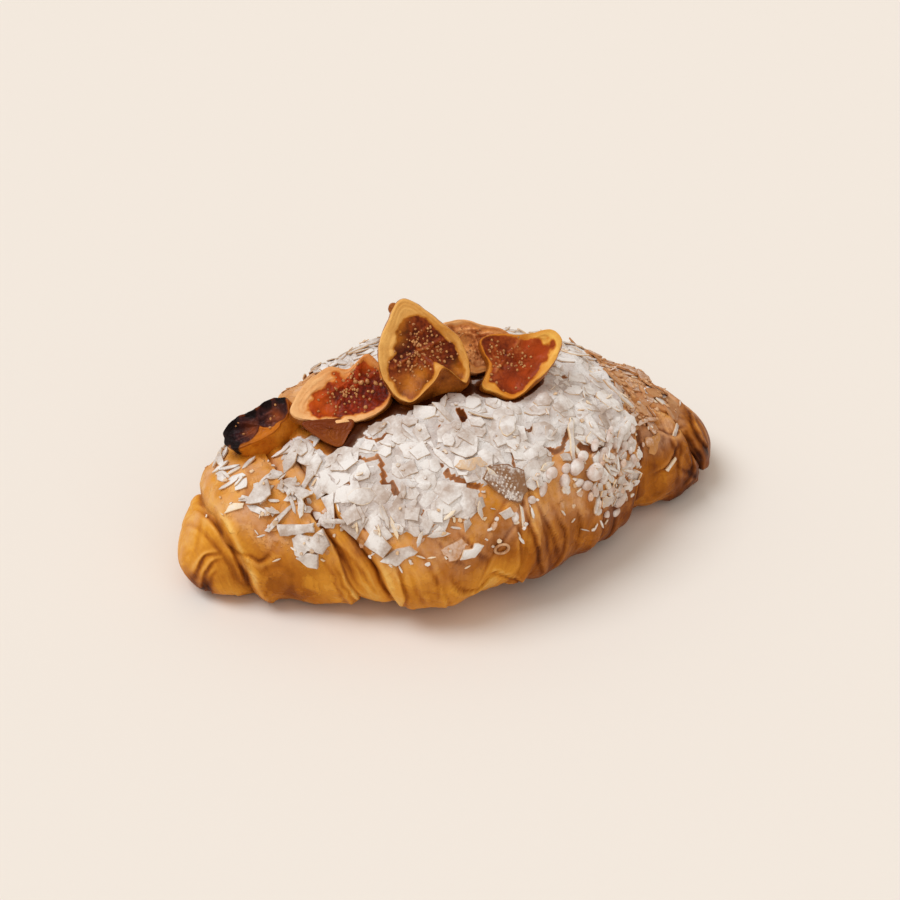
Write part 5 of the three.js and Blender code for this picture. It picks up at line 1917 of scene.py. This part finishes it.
    def nibs(self) -> None:
        """The heap of rounded nibs low on the right, and smaller ones round it."""
        model = ball(20, 12)
        unit = read_points(model)
        copies = []
        for number, (x, degrees, half, width, turn, height) in enumerate(NIBS):
            i, j = self.pile.cell(x, math.radians(degrees))
            origin, axes = self.pile.frame_at(i, j, math.radians(turn))
            size = np.array([half, width, 0.75 * width])
            middle = self.pile.height[i, j] + height * size[2]
            local = unit * size * (1 + 0.2 * bumps(unit + 9 * number, 0.9, 34))[:, None]
            local[:, 2] += middle
            near = norms(self.pile.points - origin) < 0.8 * width
            self.pile.height[near] = np.maximum(self.pile.height[near], middle + 0.5 * size[2])
            copies.append(copy_of(model, local @ axes + origin))
        bpy.data.objects.remove(model)
        finish = PlainFinish("nib_sugar", (0.82, 0.755, 0.72), (0.56, 0.385, 0.3), 0.85, 2.6)
        deliver(joined(copies), "almond_nibs", finish.make())
        self.lumps(
            "small_nibs", 60, Zone.NIBS, (0.7, 1.7), (0.84, 0.68, 0.58), (0.62, 0.38, 0.25),
            32,
        )

    def curl(self) -> None:
        """The small curl of crust on the lower front."""
        i, j = self.pile.cell(-6.2, math.radians(5))
        origin, axes = self.pile.frame_at(i, j, 0.3)
        bpy.ops.object.select_all(action="DESELECT")
        bpy.ops.mesh.primitive_torus_add(
            major_radius=1, minor_radius=0.24, major_segments=28, minor_segments=10
        )
        obj = bpy.context.object
        local = read_points(obj) * np.array([1.9, 1.5, 2.4])
        local[:, 2] += 0.35 + 0.25 * local[:, 0] + 0.12 * bumps(local, 0.9, 4)
        write_points(obj, (local @ axes + origin) * MM)
        finish = PlainFinish("curl_crust", (0.66, 0.4, 0.22), (0.42, 0.17, 0.05), 0.55, 1.6)
        deliver(obj, "crust_curl", finish.make())

    def lumps(
        self, name: str, count: int, zone: Zone, radius: Pair, light: Colour, dark: Colour,
        seed: int,
    ) -> None:
        """Scatters rounded lumps, such as nibs and crumbs.

        Args:
            name: The piece's name.
            count: How many.
            zone: Where.
            radius: Least and greatest radius in millimetres.
            light: Lighter colour.
            dark: Darker colour.
            seed: Seed of their places and shapes.
        """
        rng = np.random.default_rng(seed)
        large = radius[1] > 1
        model = ball(16, 10) if large else ball(8, 6)
        unit = read_points(model)
        copies, middles = [], np.zeros((0, 3))
        for i, j in self.pile.pick(zone, count * self.LUMP_TRIES, 1.0 + radius[1], rng):
            if len(copies) >= count:
                break
            size = rng.uniform(*radius) * np.array([1, rng.uniform(0.5, 0.8), rng.uniform(0.4, 0.6)])
            here = self.pile.points[i, j]
            if large and len(middles) and norms(middles - here).min() < 1.5 * size[1]:
                continue
            middles = np.concatenate([middles, here[None]])
            spin, shift = rng.uniform(0, 2 * math.pi), rng.integers(1000)
            origin, axes = self.pile.frame_at(i, j, spin)
            middle = np.array([0, 0, self.pile.height[i, j] + 0.5 * size[2]])
            local = unit * size * (1 + 0.22 * bumps(unit + shift, 0.8, seed))[:, None] + middle
            if large:
                near = np.s_[max(0, i - 2) : i + 3, max(0, j - 2) : j + 3]
                self.pile.height[near] = np.maximum(self.pile.height[near], middle[2] + 0.3 * size[2])
            copies.append(copy_of(model, local @ axes + origin))
        bpy.data.objects.remove(model)
        deliver(joined(copies), name, PlainFinish(name + "_finish", light, dark, 0.8, 2.5).make())


# ---------------------------------------------------------------- studio
@dataclass(frozen=True)
class Studio:
    """A pale floor, soft daylight from the upper left and the camera."""

    floor: Colour = (0.807, 0.74, 0.679)
    ambient: Colour = (0.56, 0.5, 0.418)
    sun_strength: float = 1.82
    sun_colour: Colour = (0.885, 0.957, 1.035)
    sun_spread: float = 36.0
    sun_from: Pair = (-104.0, 61.0)
    fill_strength: float = 0.5
    fill_from: Pair = (0.0, 50.0)
    fill_spread: float = 70.0
    round_from_front: float = -23.0
    above: float = 35.0
    distance: float = 0.62
    aim: Point = (-0.00147, 0.00129, 0.02626)
    lens: float = 82.34

    @staticmethod
    def direction(turn: float, rise: float) -> Vector:
        """The direction towards something, in degrees round from the front (to the right) and up."""
        a, e = math.radians(turn), math.radians(rise)
        return Vector((math.sin(a) * math.cos(e), -math.cos(a) * math.cos(e), math.sin(e)))

    def sun(self, name: str, strength: float, come_from: Pair, spread: float) -> None:
        """A soft distant light from a direction."""
        lamp = bpy.data.lights.new(name, "SUN")
        lamp.energy, lamp.color, lamp.angle = strength, self.sun_colour, math.radians(spread)
        light = bpy.data.objects.new(name, lamp)
        light.rotation_euler = self.direction(*come_from).to_track_quat("Z", "Y").to_euler()
        bpy.context.scene.collection.objects.link(light)

    def build(self) -> None:
        """Makes the floor, the lights and the camera."""
        bpy.ops.object.select_all(action="DESELECT")
        bpy.ops.mesh.primitive_circle_add(vertices=96, radius=4.0, fill_type="NGON")
        floor = bpy.context.object
        floor.name = "floor"
        paper = Shader("floor_paper", Specular_IOR_Level=0.1)
        floor.data.materials.append(paper.done(self.floor, 0.9, 0.5, 0.01))
        world = bpy.data.worlds.new("daylight")
        world.use_nodes = True
        world.node_tree.nodes["Background"].inputs["Color"].default_value = (*self.ambient, 1)
        bpy.context.scene.world = world
        self.sun("key", self.sun_strength, self.sun_from, self.sun_spread)
        self.sun("fill", self.fill_strength, self.fill_from, self.fill_spread)
        lens = bpy.data.cameras.new("camera")
        lens.lens, lens.sensor_width, lens.clip_start = self.lens, 36.0, 0.01
        camera = bpy.data.objects.new("camera", lens)
        away = self.direction(self.round_from_front, self.above)
        camera.location = Vector(self.aim) + away * self.distance
        camera.rotation_euler = away.to_track_quat("Z", "Y").to_euler()
        bpy.context.scene.collection.objects.link(camera)
        bpy.context.scene.camera = camera
        bpy.context.scene.view_settings.view_transform = "Standard"
        LOG.info("studio: floor, daylight and camera")


def fig_tree(figs: Sequence[Mesh]) -> BVHTree:
    """One search tree over the figs' surfaces."""
    points, faces = [], []
    for fig in figs:
        faces += [tuple(v + len(points) for v in p.vertices) for p in fig.data.polygons]
        points += [v.co.copy() for v in fig.data.vertices]
    return BVHTree.FromPolygons(points, faces)


def main() -> None:
    """Builds the studio, the figs, the topping and the crust under it."""
    logging.basicConfig(level=logging.INFO, format="%(name)s %(message)s")
    Studio().build()
    body = CroissantBody()
    rng = np.random.default_rng(5)
    figs, seeds = [], []
    for wedge in FIGS:
        obj, face = wedge.build()
        figs.append(obj)
        seeds += wedge.seed_places(face, rng)
    FigSeeds(seeds, rng).build()
    pile = Pile(body, fig_tree(figs))
    Topping(pile).build()
    body.build(pile)


if __name__ == "__main__":
    main()
